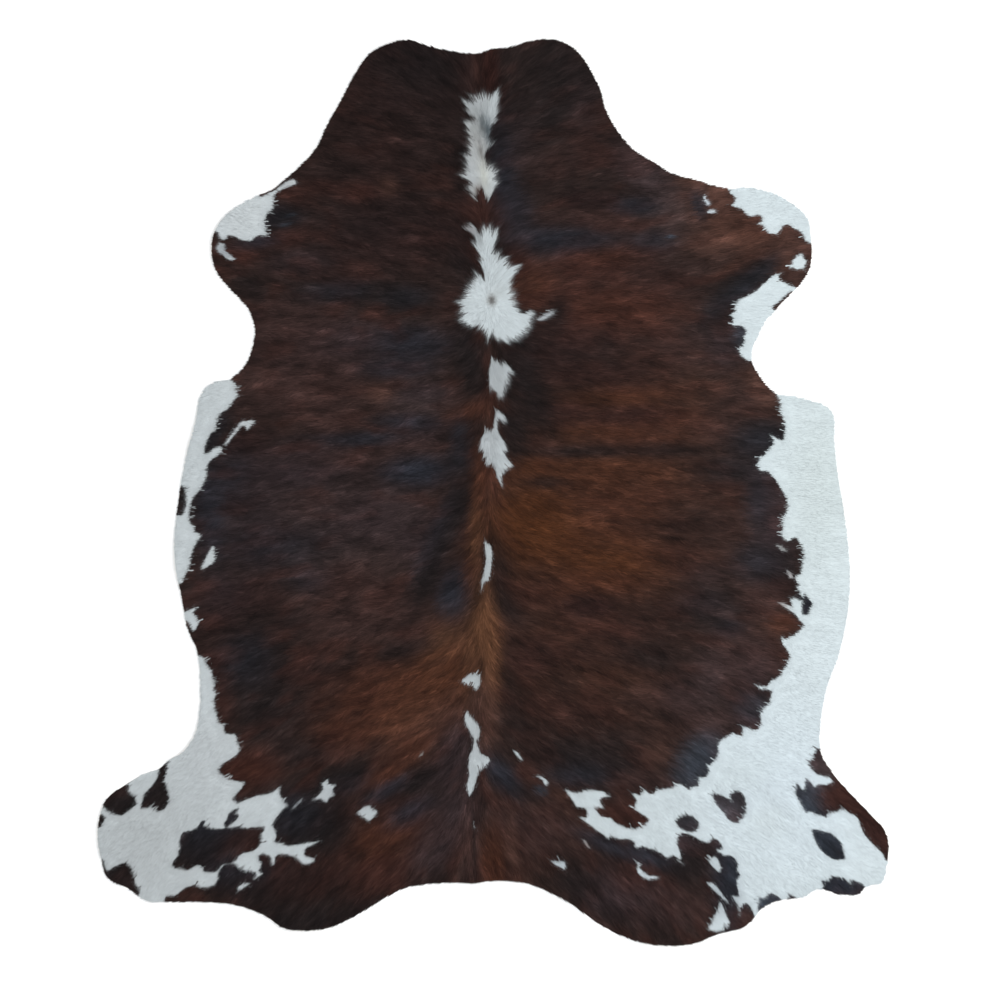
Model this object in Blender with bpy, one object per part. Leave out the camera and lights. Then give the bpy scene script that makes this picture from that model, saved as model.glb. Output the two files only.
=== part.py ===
"""Cowhide rug: one whole tanned hide with its hair left on, lying flat with the hair side up.

The hide is one closed solid, because a real one is one uncut skin with no lining, binding or seam.
It lies with its neck towards +Y, its tail edge towards -Y and its underside on z = 0, and its
origin is the middle of its bounding box at floor level. The solid reaches as high as the lying
hair. It is thickest over the back, thin at the belly, and its legs and belly edges lift off the
floor in a few low waves.
"""

import math

import bpy
import numpy as np
from mathutils import Vector
from mathutils.geometry import delaunay_2d_cdt

# Driving dimensions, in metres.
HIDE_LENGTH = 2.20
HIDE_WIDTH = 1.92
LEATHER = 0.0025
PILE_OVER_BACK = 0.0045
PILE_AT_BELLY = 0.0028
BACK_HALF_WIDTH = 0.50

# The edge is rounded: the skin's cut line is widest, and the hair rolls over it.
CUT_LINE_HEIGHT = 0.6 * LEATHER
UNDER_INSET = 0.002
ROLL_INSET = 0.007
ROLL_HEIGHT_SHARE = 0.86

# Mesh spacing.
EDGE_STEP = 0.021
TOP_STEP = 0.046
UNDER_STEP = 0.062
LATTICE_CLEARANCE = 0.5

# The cut line, clockwise from the dip of the neck, as stretches of (x, y) landmarks in metres.
# A smooth curve runs through them.
CUT_LINE = {
    "right neck lobe": [
        (-0.030, 1.067), (0.000, 1.078), (0.040, 1.080), (0.080, 1.093), (0.130, 1.100),
        (0.170, 1.093), (0.200, 1.075), (0.222, 1.050), (0.250, 1.000),
    ],
    "right neck": [
        (0.263, 0.972), (0.267, 0.948), (0.287, 0.902), (0.325, 0.848), (0.358, 0.820),
        (0.400, 0.797),
    ],
    "right shoulder": [
        (0.420, 0.780), (0.450, 0.769), (0.500, 0.757), (0.520, 0.749), (0.575, 0.737),
        (0.605, 0.740), (0.650, 0.735), (0.700, 0.717),
    ],
    "right foreleg": [
        (0.740, 0.691), (0.766, 0.661), (0.772, 0.615), (0.774, 0.575), (0.766, 0.538),
        (0.742, 0.503), (0.700, 0.460),
    ],
    "right armpit": [
        (0.680, 0.436), (0.664, 0.420), (0.650, 0.394), (0.631, 0.352), (0.628, 0.322),
        (0.641, 0.292), (0.685, 0.241),
    ],
    "right belly corner": [
        (0.730, 0.232), (0.785, 0.219), (0.813, 0.206), (0.828, 0.186), (0.829, 0.135),
    ],
    "right belly": [
        (0.836, 0.055), (0.852, -0.045), (0.862, -0.120), (0.867, -0.210), (0.860, -0.300),
        (0.838, -0.400), (0.812, -0.470),
    ],
    "right flank": [
        (0.798, -0.540), (0.793, -0.600), (0.799, -0.640), (0.824, -0.680), (0.870, -0.735),
    ],
    "right hind leg": [
        (0.915, -0.780), (0.950, -0.820), (0.960, -0.860), (0.955, -0.915), (0.945, -0.947),
        (0.905, -0.958), (0.892, -0.974), (0.840, -0.975), (0.790, -0.962),
    ],
    "right shank": [
        (0.755, -0.982), (0.700, -0.990), (0.658, -1.006), (0.634, -1.033), (0.612, -1.055),
    ],
    "right thigh": [
        (0.545, -1.073), (0.490, -1.095), (0.430, -1.100), (0.370, -1.094), (0.310, -1.075),
        (0.250, -1.043), (0.190, -0.998),
    ],
    "tail": [
        (0.150, -0.977), (0.095, -0.952), (0.030, -0.943), (-0.030, -0.946), (-0.049, -0.951),
        (-0.068, -0.948), (-0.140, -0.949), (-0.210, -0.959),
    ],
    "left thigh": [
        (-0.255, -0.979), (-0.330, -1.025), (-0.400, -1.057), (-0.455, -1.063), (-0.510, -1.057),
        (-0.550, -1.030), (-0.620, -1.003),
    ],
    "left shank": [
        (-0.700, -0.994), (-0.790, -0.994), (-0.840, -0.992), (-0.890, -0.960),
    ],
    "left hind leg": [
        (-0.937, -0.936), (-0.950, -0.895), (-0.960, -0.840), (-0.955, -0.790), (-0.936, -0.742),
        (-0.900, -0.715), (-0.842, -0.681), (-0.815, -0.674), (-0.780, -0.645), (-0.757, -0.636),
    ],
    "left flank": [
        (-0.725, -0.593), (-0.713, -0.545), (-0.711, -0.450), (-0.718, -0.385),
    ],
    "left belly": [
        (-0.743, -0.325), (-0.756, -0.250), (-0.768, -0.200), (-0.773, -0.110), (-0.762, -0.010),
        (-0.745, 0.085), (-0.722, 0.170),
    ],
    "left belly corner": [
        (-0.714, 0.222), (-0.698, 0.253), (-0.665, 0.271), (-0.635, 0.276),
    ],
    "left armpit": [
        (-0.600, 0.310), (-0.583, 0.353), (-0.577, 0.392), (-0.592, 0.445), (-0.642, 0.500),
    ],
    "left foreleg": [
        (-0.672, 0.540), (-0.683, 0.592), (-0.674, 0.636), (-0.650, 0.672), (-0.610, 0.700),
        (-0.570, 0.722), (-0.535, 0.736),
    ],
    "left shoulder": [
        (-0.505, 0.760), (-0.460, 0.800), (-0.422, 0.848),
    ],
    "left neck": [
        (-0.406, 0.885), (-0.370, 0.950), (-0.345, 0.998), (-0.320, 1.040), (-0.295, 1.069),
    ],
    "left neck lobe": [
        (-0.250, 1.090), (-0.205, 1.098), (-0.150, 1.082), (-0.075, 1.067),
    ],
}

# Low waves where the skin lifts off the floor. Each crest is centred on (x, y), runs along
# heading degrees from +X, fades over half_length and half_width, and is height tall.
WAVES = [
    # name, x, y, heading, half_length, half_width, height
    ("left hind leg inner", -0.720, -0.700, 100, 0.150, 0.050, 0.0055),
    ("left hind leg outer", -0.900, -0.830, 165, 0.120, 0.060, 0.0050),
    ("left thigh", -0.470, -1.050, 80, 0.110, 0.070, 0.0045),
    ("right hind leg inner", 0.700, -0.880, 55, 0.150, 0.055, 0.0050),
    ("right hind leg outer", 0.930, -0.850, 20, 0.110, 0.060, 0.0060),
    ("right thigh", 0.420, -1.090, 95, 0.110, 0.070, 0.0045),
    ("right belly low", 0.850, -0.330, 170, 0.110, 0.060, 0.0050),
    ("right belly high", 0.850, -0.020, 10, 0.110, 0.060, 0.0055),
    ("left belly low", -0.765, -0.170, 175, 0.110, 0.055, 0.0050),
    ("left belly high", -0.735, 0.130, 20, 0.100, 0.050, 0.0045),
    ("right foreleg", 0.760, 0.600, 15, 0.110, 0.055, 0.0050),
    ("left foreleg", -0.670, 0.610, 160, 0.110, 0.055, 0.0050),
    ("right neck lobe", 0.150, 1.090, 75, 0.100, 0.060, 0.0045),
    ("left neck lobe", -0.230, 1.090, 110, 0.100, 0.060, 0.0045),
]
WAVE_FOOT = 0.0004

BROWN_HAIR = (0.045, 0.020, 0.015, 1.0)


def clear_scene():
    for obj in list(bpy.data.objects):
        bpy.data.objects.remove(obj, do_unlink=True)


def smooth_loop(points, per_span=12):
    """A closed centripetal Catmull-Rom curve through the points."""
    points = np.array(points, float)
    count = len(points)
    curve = []
    for i in range(count):
        p0, p1, p2, p3 = (points[(i + k) % count] for k in (-1, 0, 1, 2))
        t1 = math.sqrt(np.linalg.norm(p1 - p0))
        t2 = t1 + math.sqrt(np.linalg.norm(p2 - p1))
        t3 = t2 + math.sqrt(np.linalg.norm(p3 - p2))
        for t in np.linspace(t1, t2, per_span, endpoint=False):
            a1 = (t1 - t) / t1 * p0 + t / t1 * p1
            a2 = (t2 - t) / (t2 - t1) * p1 + (t - t1) / (t2 - t1) * p2
            a3 = (t3 - t) / (t3 - t2) * p2 + (t - t2) / (t3 - t2) * p3
            b1 = (t2 - t) / t2 * a1 + t / t2 * a2
            b2 = (t3 - t) / (t3 - t1) * a2 + (t - t1) / (t3 - t1) * a3
            curve.append((t2 - t) / (t2 - t1) * b1 + (t - t1) / (t2 - t1) * b2)
    return np.array(curve)


def evenly_spaced(loop, step):
    """Points at equal distances round a closed loop, about step apart."""
    closed = np.vstack([loop, loop[:1]])
    along = np.concatenate([[0.0], np.cumsum(np.linalg.norm(np.diff(closed, axis=0), axis=1))])
    places = np.linspace(0.0, along[-1], round(along[-1] / step), endpoint=False)
    return np.stack([np.interp(places, along, closed[:, axis]) for axis in (0, 1)], axis=1)


def cut_line():
    """The hide's outline, counter-clockwise, fitted to the driving length and width."""
    landmarks = [point for stretch in CUT_LINE.values() for point in stretch]
    loop = smooth_loop(landmarks)[::-1]
    low = loop.min(axis=0)
    high = loop.max(axis=0)
    loop = (loop - (low + high) / 2) * (HIDE_WIDTH, HIDE_LENGTH) / (high - low)
    return evenly_spaced(loop, EDGE_STEP)


def inset(loop, distance):
    """The counter-clockwise loop moved inwards."""
    along = np.roll(loop, -1, axis=0) - np.roll(loop, 1, axis=0)
    along /= np.linalg.norm(along, axis=1, keepdims=True)
    inwards = np.stack([-along[:, 1], along[:, 0]], axis=1)
    return loop + distance * inwards


def distance_inside(points, loop):
    """How far each point is inside the loop, negative outside it."""
    start = loop[None]
    run = np.roll(loop, -1, axis=0)[None] - start
    to_point = points[:, None] - start
    share = np.clip((to_point * run).sum(axis=2) / (run * run).sum(axis=2), 0.0, 1.0)
    nearest = np.linalg.norm(to_point - share[:, :, None] * run, axis=2).min(axis=1)
    above_start = to_point[:, :, 1] >= 0.0
    above_end = to_point[:, :, 1] >= run[:, :, 1]
    left_of_run = run[:, :, 0] * to_point[:, :, 1] - run[:, :, 1] * to_point[:, :, 0] > 0.0
    turns = (above_start & ~above_end & left_of_run).sum(axis=1)
    turns -= (~above_start & above_end & ~left_of_run).sum(axis=1)
    return np.where(turns != 0, nearest, -nearest)


def lattice(loop, step):
    """Staggered rows of points inside the loop, clear of it."""
    low = loop.min(axis=0)
    high = loop.max(axis=0)
    row_step = step * math.sqrt(3.0) / 2.0
    points = []
    for row, y in enumerate(np.arange(low[1], high[1], row_step)):
        shift = step / 2.0 * (row % 2)
        points += [(x + shift, y) for x in np.arange(low[0], high[0], step)]
    points = np.array(points)
    return points[distance_inside(points, loop) > LATTICE_CLEARANCE * step]


def triangulated(loop, step):
    """Triangles over the inside of the loop: its points, those added inside it, and the faces."""
    added = lattice(loop, step)
    points = np.vstack([loop, added])
    ring = list(range(len(loop)))
    spots, _, faces, origins, _, _ = delaunay_2d_cdt(
        [Vector(point) for point in points], [], [ring], 1, 1e-7
    )
    source = {spot: found[0] for spot, found in enumerate(origins)}
    return added, [[source[spot] for spot in face] for face in faces]


def lift(points):
    """Height of the underside over the floor, zero over most of the hide."""
    height = np.zeros(len(points))
    for _, x, y, heading, half_length, half_width, crest in WAVES:
        turn = math.radians(heading)
        away = points - (x, y)
        along = away @ (math.cos(turn), math.sin(turn))
        across = away @ (-math.sin(turn), math.cos(turn))
        height += crest * np.exp(-((along / half_length) ** 2) - (across / half_width) ** 2)
    return np.maximum(height - WAVE_FOOT, 0.0)


def thickness(points):
    """Skin and lying hair together."""
    over_back = np.exp(-((points[:, 0] / BACK_HALF_WIDTH) ** 2))
    return LEATHER + PILE_AT_BELLY + (PILE_OVER_BACK - PILE_AT_BELLY) * over_back


def raised(points, share_of_thickness=0.0, extra=0.0):
    """The flat points as 3-D ones on the lifted skin."""
    height = lift(points) + share_of_thickness * thickness(points) + extra
    return np.column_stack([points, height])


def strip(lower, upper, count):
    """Quads between two rings whose first vertices are lower and upper."""
    return [
        (lower + i, lower + (i + 1) % count, upper + (i + 1) % count, upper + i)
        for i in range(count)
    ]


def hide_mesh():
    edge = cut_line()
    under_ring = inset(edge, UNDER_INSET)
    top_ring = inset(edge, ROLL_INSET)
    top_inside, top_faces = triangulated(top_ring, TOP_STEP)
    under_inside, under_faces = triangulated(under_ring, UNDER_STEP)

    count = len(edge)
    blocks = [
        raised(edge, extra=CUT_LINE_HEIGHT),
        raised(top_ring, ROLL_HEIGHT_SHARE),
        raised(top_inside, 1.0),
        raised(under_ring),
        raised(under_inside),
    ]
    first_edge = 0
    first_top = count
    first_under = first_top + count + len(top_inside)
    faces = strip(first_edge, first_top, count)
    faces += strip(first_under, first_edge, count)
    faces += [tuple(first_top + v for v in face) for face in top_faces]
    faces += [tuple(first_under + v for v in reversed(face)) for face in under_faces]

    mesh = bpy.data.meshes.new("hide")
    mesh.from_pydata(np.vstack(blocks).tolist(), [], faces)
    mesh.validate()
    return mesh


def hair_material():
    material = bpy.data.materials.new("brown_hair")
    material.use_nodes = True
    shader = material.node_tree.nodes["Principled BSDF"]
    shader.inputs["Base Color"].default_value = BROWN_HAIR
    shader.inputs["Roughness"].default_value = 0.55
    shader.inputs["Metallic"].default_value = 0.0
    return material


def make_hide():
    mesh = hide_mesh()
    mesh.materials.append(hair_material())
    mesh.shade_smooth()
    mesh.set_sharp_from_angle(angle=math.radians(40.0))
    hide = bpy.data.objects.new("hide", mesh)
    bpy.context.scene.collection.objects.link(hide)


def main():
    clear_scene()
    make_hide()


main()
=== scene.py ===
"""Looks of the cowhide rug: the skin sheet, its hair and markings, the floor, light and camera."""

import math

import bpy
import numpy as np
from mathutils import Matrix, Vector
from mathutils.geometry import delaunay_2d_cdt


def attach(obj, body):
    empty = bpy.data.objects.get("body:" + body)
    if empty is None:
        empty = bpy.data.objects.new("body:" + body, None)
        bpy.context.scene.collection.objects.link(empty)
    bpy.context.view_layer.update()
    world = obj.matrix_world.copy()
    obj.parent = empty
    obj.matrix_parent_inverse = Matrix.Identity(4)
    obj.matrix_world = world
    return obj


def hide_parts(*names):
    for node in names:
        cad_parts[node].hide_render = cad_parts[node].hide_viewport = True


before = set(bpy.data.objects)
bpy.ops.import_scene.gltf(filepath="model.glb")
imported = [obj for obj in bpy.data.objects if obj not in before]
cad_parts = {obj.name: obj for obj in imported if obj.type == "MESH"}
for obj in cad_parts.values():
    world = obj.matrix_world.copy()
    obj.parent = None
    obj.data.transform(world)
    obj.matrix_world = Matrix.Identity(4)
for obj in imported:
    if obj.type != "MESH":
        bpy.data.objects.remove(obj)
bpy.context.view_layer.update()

SEED = 7

# ---------------------------------------------------------------------------------------------
# Sizes, in metres, repeated from the CAD part where it has them
# ---------------------------------------------------------------------------------------------

# The skin's thickness.
LEATHER = 0.0025

# The lying hair is highest over the spine and lower towards the belly.
PILE_OVER_BACK = 0.0045
PILE_AT_BELLY = 0.0028
BACK_HALF_WIDTH = 0.50

# Low waves where the skin lifts off the floor: the CAD part's crests.
WAVES = [
    # name, x, y, heading, half_length, half_width, height
    ("left hind leg inner", -0.720, -0.700, 100, 0.150, 0.050, 0.0055),
    ("left hind leg outer", -0.900, -0.830, 165, 0.120, 0.060, 0.0050),
    ("left thigh", -0.470, -1.050, 80, 0.110, 0.070, 0.0045),
    ("right hind leg inner", 0.700, -0.880, 55, 0.150, 0.055, 0.0050),
    ("right hind leg outer", 0.930, -0.850, 20, 0.110, 0.060, 0.0060),
    ("right thigh", 0.420, -1.090, 95, 0.110, 0.070, 0.0045),
    ("right belly low", 0.850, -0.330, 170, 0.110, 0.060, 0.0050),
    ("right belly high", 0.850, -0.020, 10, 0.110, 0.060, 0.0055),
    ("left belly low", -0.765, -0.170, 175, 0.110, 0.055, 0.0050),
    ("left belly high", -0.735, 0.130, 20, 0.100, 0.050, 0.0045),
    ("right foreleg", 0.760, 0.600, 15, 0.110, 0.055, 0.0050),
    ("left foreleg", -0.670, 0.610, 160, 0.110, 0.055, 0.0050),
    ("right neck lobe", 0.150, 1.090, 75, 0.100, 0.060, 0.0045),
    ("left neck lobe", -0.230, 1.090, 110, 0.100, 0.060, 0.0045),
]

# The skin lies flat where a wave would be lower than this.
WAVE_FOOT = 0.0004

# The hair whorl on the withers, from which all the hair lies away.
WHORL = (-0.004, 0.467)

# The line of the spine, as (y, x).
SPINE = [
    (-1.00, -0.048), (-0.65, -0.042), (-0.40, -0.030), (0.05, -0.004), (0.467, -0.004),
    (0.75, -0.025), (0.95, -0.020), (1.10, -0.030),
]

# ---------------------------------------------------------------------------------------------
# Markings, in whole millimetres: the white areas and flecks, and the dark spots in the white
# ---------------------------------------------------------------------------------------------

WHITE = {
    "blaze": [
        (-78, 962), (-66, 955), (-52, 953), (-44, 958), (-58, 963), (-73, 973), (-56, 969), (-44, 966),
        (-34, 969), (-22, 976), (-14, 967), (-4, 968), (6, 977), (17, 992), (15, 975), (19, 960),
        (14, 944), (17, 925), (9, 912), (13, 899), (1, 897), (-2, 880), (-7, 862), (7, 848), (-4, 841),
        (-14, 837), (-21, 816), (-13, 800), (-5, 796), (2, 804), (4, 790), (16, 782), (9, 768),
        (17, 751), (8, 742), (0, 726), (-9, 709), (-21, 730), (-30, 748), (-38, 738), (-47, 716),
        (-59, 719), (-53, 732), (-69, 733), (-58, 748), (-59, 758), (-90, 771), (-68, 780), (-76, 786),
        (-65, 791), (-75, 799), (-66, 807), (-75, 820), (-58, 829), (-65, 843), (-58, 852), (-67, 861),
        (-58, 867), (-70, 879), (-63, 887), (-73, 897), (-67, 907), (-48, 907), (-44, 913), (-57, 918),
        (-71, 927), (-64, 935), (-76, 948),
    ],
    "whorl star": [
        (-77, 642), (-52, 658), (-44, 645), (-34, 630), (-27, 640), (-25, 654), (-14, 644), (-8, 655),
        (2, 640), (15, 646), (12, 615), (3, 589), (23, 588), (18, 573), (40, 577), (38, 562), (46, 552),
        (70, 558), (66, 543), (49, 520), (47, 497), (57, 486), (55, 470), (62, 462), (58, 449),
        (70, 447), (68, 438), (82, 434), (98, 446), (104, 437), (98, 412), (93, 397), (80, 381),
        (56, 365), (44, 367), (37, 356), (24, 367), (10, 364), (1, 380), (-6, 378), (-13, 356),
        (-19, 384), (-30, 396), (-42, 387), (-37, 404), (-49, 397), (-66, 404), (-76, 412), (-85, 419),
        (-79, 430), (-84, 439), (-77, 453), (-97, 464), (-77, 471), (-68, 490), (-59, 509), (-49, 517),
        (-44, 530), (-53, 545), (-34, 534), (-21, 520), (-26, 545), (-36, 560), (-31, 573), (-47, 598),
        (-56, 613), (-44, 611), (-46, 626), (-62, 635),
    ],
    "star wisp": [
        (108, 415), (117, 426), (128, 433), (138, 438), (146, 450), (152, 441), (149, 431), (136, 423),
        (122, 416),
    ],
    "withers patch": [
        (-4, 334), (4, 319), (15, 316), (21, 308), (27, 314), (38, 311), (54, 291), (44, 284),
        (42, 262), (34, 250), (30, 237), (23, 223), (16, 228), (14, 208), (11, 224), (10, 239),
        (0, 248), (-9, 242), (-10, 258), (-12, 290), (-7, 310),
    ],
    "back patch": [
        (7, 199), (18, 195), (33, 185), (35, 173), (26, 163), (18, 176), (13, 170), (14, 148),
        (22, 133), (31, 122), (38, 102), (31, 96), (38, 80), (52, 65), (41, 56), (29, 50), (23, 36),
        (26, 3), (14, 28), (6, 50), (-3, 68), (-14, 62), (-21, 72), (-16, 86), (-29, 78), (-23, 98),
        (-35, 100), (-34, 121), (-20, 150), (-5, 147), (1, 157), (4, 178),
    ],
    "loin sliver": [
        (-21, -116), (-4, -131), (0, -150), (-4, -198), (-10, -217), (-22, -221), (-31, -250),
        (-29, -216), (-22, -190), (-17, -165), (-20, -140),
    ],
    "loin spot": [
        (-80, -461), (-60, -443), (-45, -440), (-30, -445), (-31, -470), (-40, -483), (-51, -472),
        (-68, -468),
    ],
    "rump patch": [
        (-65, -531), (-52, -545), (-40, -560), (-30, -578), (-33, -598), (-40, -605), (-36, -618),
        (-28, -638), (-10, -644), (-5, -655), (-18, -668), (-32, -675), (-40, -700), (-49, -728),
        (-58, -741), (-65, -715), (-58, -690), (-60, -665), (-58, -640), (-50, -625), (-46, -603),
        (-56, -585), (-68, -562), (-71, -548),
    ],
    "rump wisp": [(46, -623), (62, -632), (77, -655), (66, -649), (56, -638)],
    "hip wisp": [
        (100, -688), (120, -690), (137, -702), (132, -716), (125, -709), (121, -700), (109, -692),
    ],
    "left rump fleck": [(-166, -627), (-172, -640), (-187, -647), (-176, -635)],
    "left thigh fleck": [
        (-399, -694), (-402, -709), (-382, -711), (-391, -724), (-385, -738), (-397, -742),
        (-405, -756), (-420, -746), (-442, -749), (-421, -732), (-413, -720), (-419, -708),
    ],
    "left thigh streak": [(-461, -741), (-466, -752), (-480, -765), (-495, -775), (-482, -758)],
    "left thigh spot": [
        (-333, -778), (-315, -765), (-302, -759), (-292, -768), (-279, -776), (-290, -790),
        (-303, -801), (-315, -792), (-326, -785),
    ],
    "tail fleck": [(-49, -798), (-45, -806), (-42, -825), (-48, -812)],
    "right thigh fleck": [
        (139, -895), (156, -896), (176, -896), (180, -907), (176, -919), (164, -912), (150, -905),
    ],
    "right thigh streak": [(216, -843), (227, -847), (241, -869), (228, -862)],
    "right hind leg": [
        (700, 260), (684, 243), (692, 233), (700, 214), (696, 200), (709, 172), (710, 150), (709, 129),
        (700, 127), (690, 133), (670, 144), (681, 130), (684, 117), (668, 104), (664, 92), (650, 88),
        (642, 66), (650, 52), (668, 52), (690, 28), (706, 0), (713, -12), (717, -30), (714, -45),
        (704, -60), (703, -75), (706, -88), (700, -98), (704, -108), (710, -114), (716, -120),
        (724, -117), (730, -112), (737, -110), (748, -125), (756, -150), (752, -170), (749, -197),
        (737, -204), (736, -213), (746, -226), (737, -228), (748, -247), (757, -262), (752, -262),
        (745, -262), (733, -253), (724, -260), (728, -277), (700, -266), (689, -265), (715, -283),
        (735, -296), (745, -310), (757, -322), (746, -335), (735, -345), (712, -358), (702, -347),
        (702, -365), (716, -385), (723, -402), (713, -418), (705, -431), (700, -445), (675, -459),
        (666, -471), (652, -471), (634, -464), (650, -479), (665, -478), (679, -485), (672, -512),
        (660, -522), (650, -535), (652, -562), (645, -576), (632, -578), (620, -571), (606, -567),
        (607, -591), (595, -590), (585, -583), (575, -590), (550, -603), (546, -612), (548, -630),
        (542, -650), (530, -663), (517, -659), (527, -675), (520, -690), (508, -693), (500, -690),
        (501, -713), (488, -714), (478, -723), (465, -712), (450, -707), (440, -716), (420, -721),
        (400, -723), (388, -734), (378, -730), (368, -720), (358, -738), (350, -733), (335, -730),
        (344, -741), (351, -750), (340, -768), (352, -776), (380, -795), (374, -804), (360, -813),
        (345, -818), (325, -816), (300, -804), (288, -792), (265, -788), (248, -768), (256, -766),
        (272, -770), (264, -758), (261, -747), (270, -741), (288, -740), (270, -727), (245, -723),
        (225, -723), (208, -731), (192, -728), (174, -720), (186, -738), (196, -752), (202, -765),
        (226, -770), (231, -782), (226, -792), (203, -787), (220, -797), (250, -820), (265, -830),
        (278, -843), (290, -838), (310, -845), (330, -843), (345, -850), (347, -866), (365, -861),
        (380, -867), (400, -873), (412, -880), (423, -890), (440, -883), (457, -895), (459, -887),
        (457, -878), (448, -850), (450, -838), (460, -829), (475, -831), (490, -838), (505, -847),
        (525, -854), (530, -845), (538, -841), (552, -850), (561, -866), (547, -869), (545, -873),
        (565, -885), (575, -882), (588, -890), (597, -905), (592, -918), (601, -930), (592, -943),
        (599, -982), (577, -980), (588, -992), (597, -1005), (600, -1030), (604, -1008), (612, -1000),
        (622, -1003), (632, -1018), (640, -1045), (720, -1030), (1000, -990), (1000, -780), (830, -600),
        (900, -200), (860, 260),
    ],
    "right thigh smudge": [(446, -893), (456, -895), (468, -907), (457, -903)],
    "right leg hole": [
        (524, -895), (538, -884), (548, -891), (556, -912), (553, -926), (544, -920), (532, -908),
    ],
    "right leg sliver": [
        (518, -949), (536, -950), (552, -966), (566, -986), (577, -1003), (563, -994), (548, -978),
        (533, -965),
    ],
    "right shank wedge": [
        (553, -993), (562, -1010), (570, -1030), (577, -1046), (569, -1058), (558, -1067), (543, -1070),
        (520, -1062), (533, -1045), (540, -1025), (548, -1010),
    ],
    "right leg crescent": [
        (349, -896), (363, -904), (358, -913), (367, -923), (378, -931), (393, -933), (406, -938),
        (393, -942), (379, -943), (365, -937), (353, -926), (350, -915), (354, -907), (349, -901),
    ],
    "right flank streak": [
        (689, -122), (701, -129), (715, -137), (718, -145), (703, -143), (693, -134),
    ],
    "right flank hole": [(715, -187), (728, -196), (733, -210), (722, -210), (716, -199)],
    "right foreleg": [
        (600, 770), (572, 745), (575, 730), (590, 716), (588, 705), (579, 699), (590, 693), (605, 690),
        (617, 675), (630, 670), (645, 675), (656, 671), (655, 660), (639, 652), (656, 650), (669, 630),
        (690, 627), (700, 637), (706, 648), (718, 652), (730, 645), (752, 629), (758, 614), (767, 605),
        (790, 605), (790, 690), (720, 760),
    ],
    "right wrist spot": [
        (721, 540), (726, 561), (739, 575), (753, 582), (758, 568), (765, 561), (757, 543), (740, 542),
        (730, 547),
    ],
    "right foreleg band": [
        (680, 527), (704, 536), (696, 526), (700, 516), (720, 506), (735, 500), (755, 480), (700, 400),
        (660, 330), (625, 318), (602, 332), (600, 342), (595, 348), (605, 355), (612, 365), (609, 378),
        (618, 390), (612, 401), (600, 405), (584, 404), (583, 416), (587, 422), (576, 430), (590, 440),
        (590, 460), (600, 470), (620, 478), (640, 490), (655, 505),
    ],
    "right shoulder fleck": [
        (511, 722), (517, 728), (521, 715), (530, 705), (531, 697), (521, 698), (513, 709),
    ],
    "right shoulder streak": [(517, 680), (529, 689), (539, 689), (546, 681), (534, 677)],
    "left foreleg": [
        (-690, 638), (-670, 632), (-667, 619), (-659, 613), (-649, 615), (-645, 624), (-630, 622),
        (-612, 613), (-600, 611), (-587, 611), (-580, 620), (-568, 626), (-551, 623), (-550, 640),
        (-555, 650), (-550, 676), (-533, 690), (-534, 715), (-526, 730), (-510, 738), (-494, 744),
        (-476, 751), (-479, 758), (-488, 762), (-502, 757), (-516, 748), (-531, 735), (-548, 728),
        (-566, 719), (-580, 740), (-640, 710), (-690, 670),
    ],
    "left wrist mark": [
        (-674, 598), (-668, 608), (-655, 606), (-650, 597), (-652, 588), (-640, 578), (-626, 568),
        (-636, 562), (-649, 568), (-660, 578), (-672, 585),
    ],
    "left belly": [
        (-645, 300), (-635, 272), (-625, 262), (-625, 245), (-617, 235), (-628, 227), (-638, 211),
        (-650, 199), (-662, 193), (-670, 180), (-674, 153), (-690, 138), (-700, 112), (-703, 94),
        (-690, 98), (-680, 108), (-665, 113), (-657, 108), (-662, 95), (-684, 81), (-692, 70),
        (-697, 55), (-694, 41), (-706, 18), (-718, 0), (-728, -10), (-733, -25), (-739, -50),
        (-738, -70), (-727, -80), (-727, -95), (-708, -104), (-722, -125), (-730, -140), (-734, -160),
        (-738, -180), (-750, -205), (-757, -223), (-790, -220), (-800, -80), (-770, 100), (-740, 250),
        (-690, 290),
    ],
    "left flank strand": [
        (-657, 115), (-644, 132), (-630, 153), (-617, 169), (-609, 175), (-601, 173), (-591, 177),
        (-577, 175), (-587, 161), (-593, 155), (-599, 148), (-604, 161), (-611, 162), (-621, 150),
        (-636, 130), (-651, 113),
    ],
    "left flank spot": [
        (-708, -190), (-710, -182), (-697, -155), (-685, -129), (-678, -131), (-677, -149),
        (-673, -162), (-684, -175), (-696, -182),
    ],
    "left flank edge": [
        (-751, -290), (-721, -277), (-716, -280), (-731, -293), (-722, -299), (-715, -316),
        (-722, -333), (-731, -338), (-744, -313), (-770, -310), (-770, -290),
    ],
    "left hind leg": [
        (-735, -385), (-712, -398), (-700, -404), (-695, -420), (-685, -432), (-680, -450),
        (-675, -458), (-679, -475), (-672, -490), (-679, -505), (-675, -525), (-670, -545),
        (-666, -562), (-654, -562), (-653, -584), (-640, -587), (-624, -588), (-622, -605),
        (-613, -625), (-622, -638), (-640, -650), (-658, -660), (-669, -674), (-664, -683),
        (-650, -692), (-630, -700), (-603, -705), (-612, -720), (-625, -733), (-634, -746),
        (-622, -756), (-600, -746), (-575, -738), (-550, -733), (-535, -728), (-517, -712),
        (-520, -732), (-510, -748), (-497, -762), (-512, -772), (-530, -795), (-538, -810),
        (-529, -820), (-527, -835), (-532, -850), (-510, -853), (-500, -860), (-480, -857),
        (-455, -852), (-415, -846), (-440, -858), (-457, -867), (-460, -882), (-430, -894),
        (-448, -905), (-463, -905), (-480, -888), (-500, -882), (-520, -880), (-531, -888),
        (-532, -906), (-541, -906), (-540, -892), (-546, -883), (-560, -879), (-573, -885),
        (-570, -894), (-564, -901), (-566, -913), (-571, -921), (-559, -927), (-571, -935),
        (-582, -943), (-590, -952), (-600, -959), (-613, -967), (-622, -970), (-630, -960),
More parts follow.
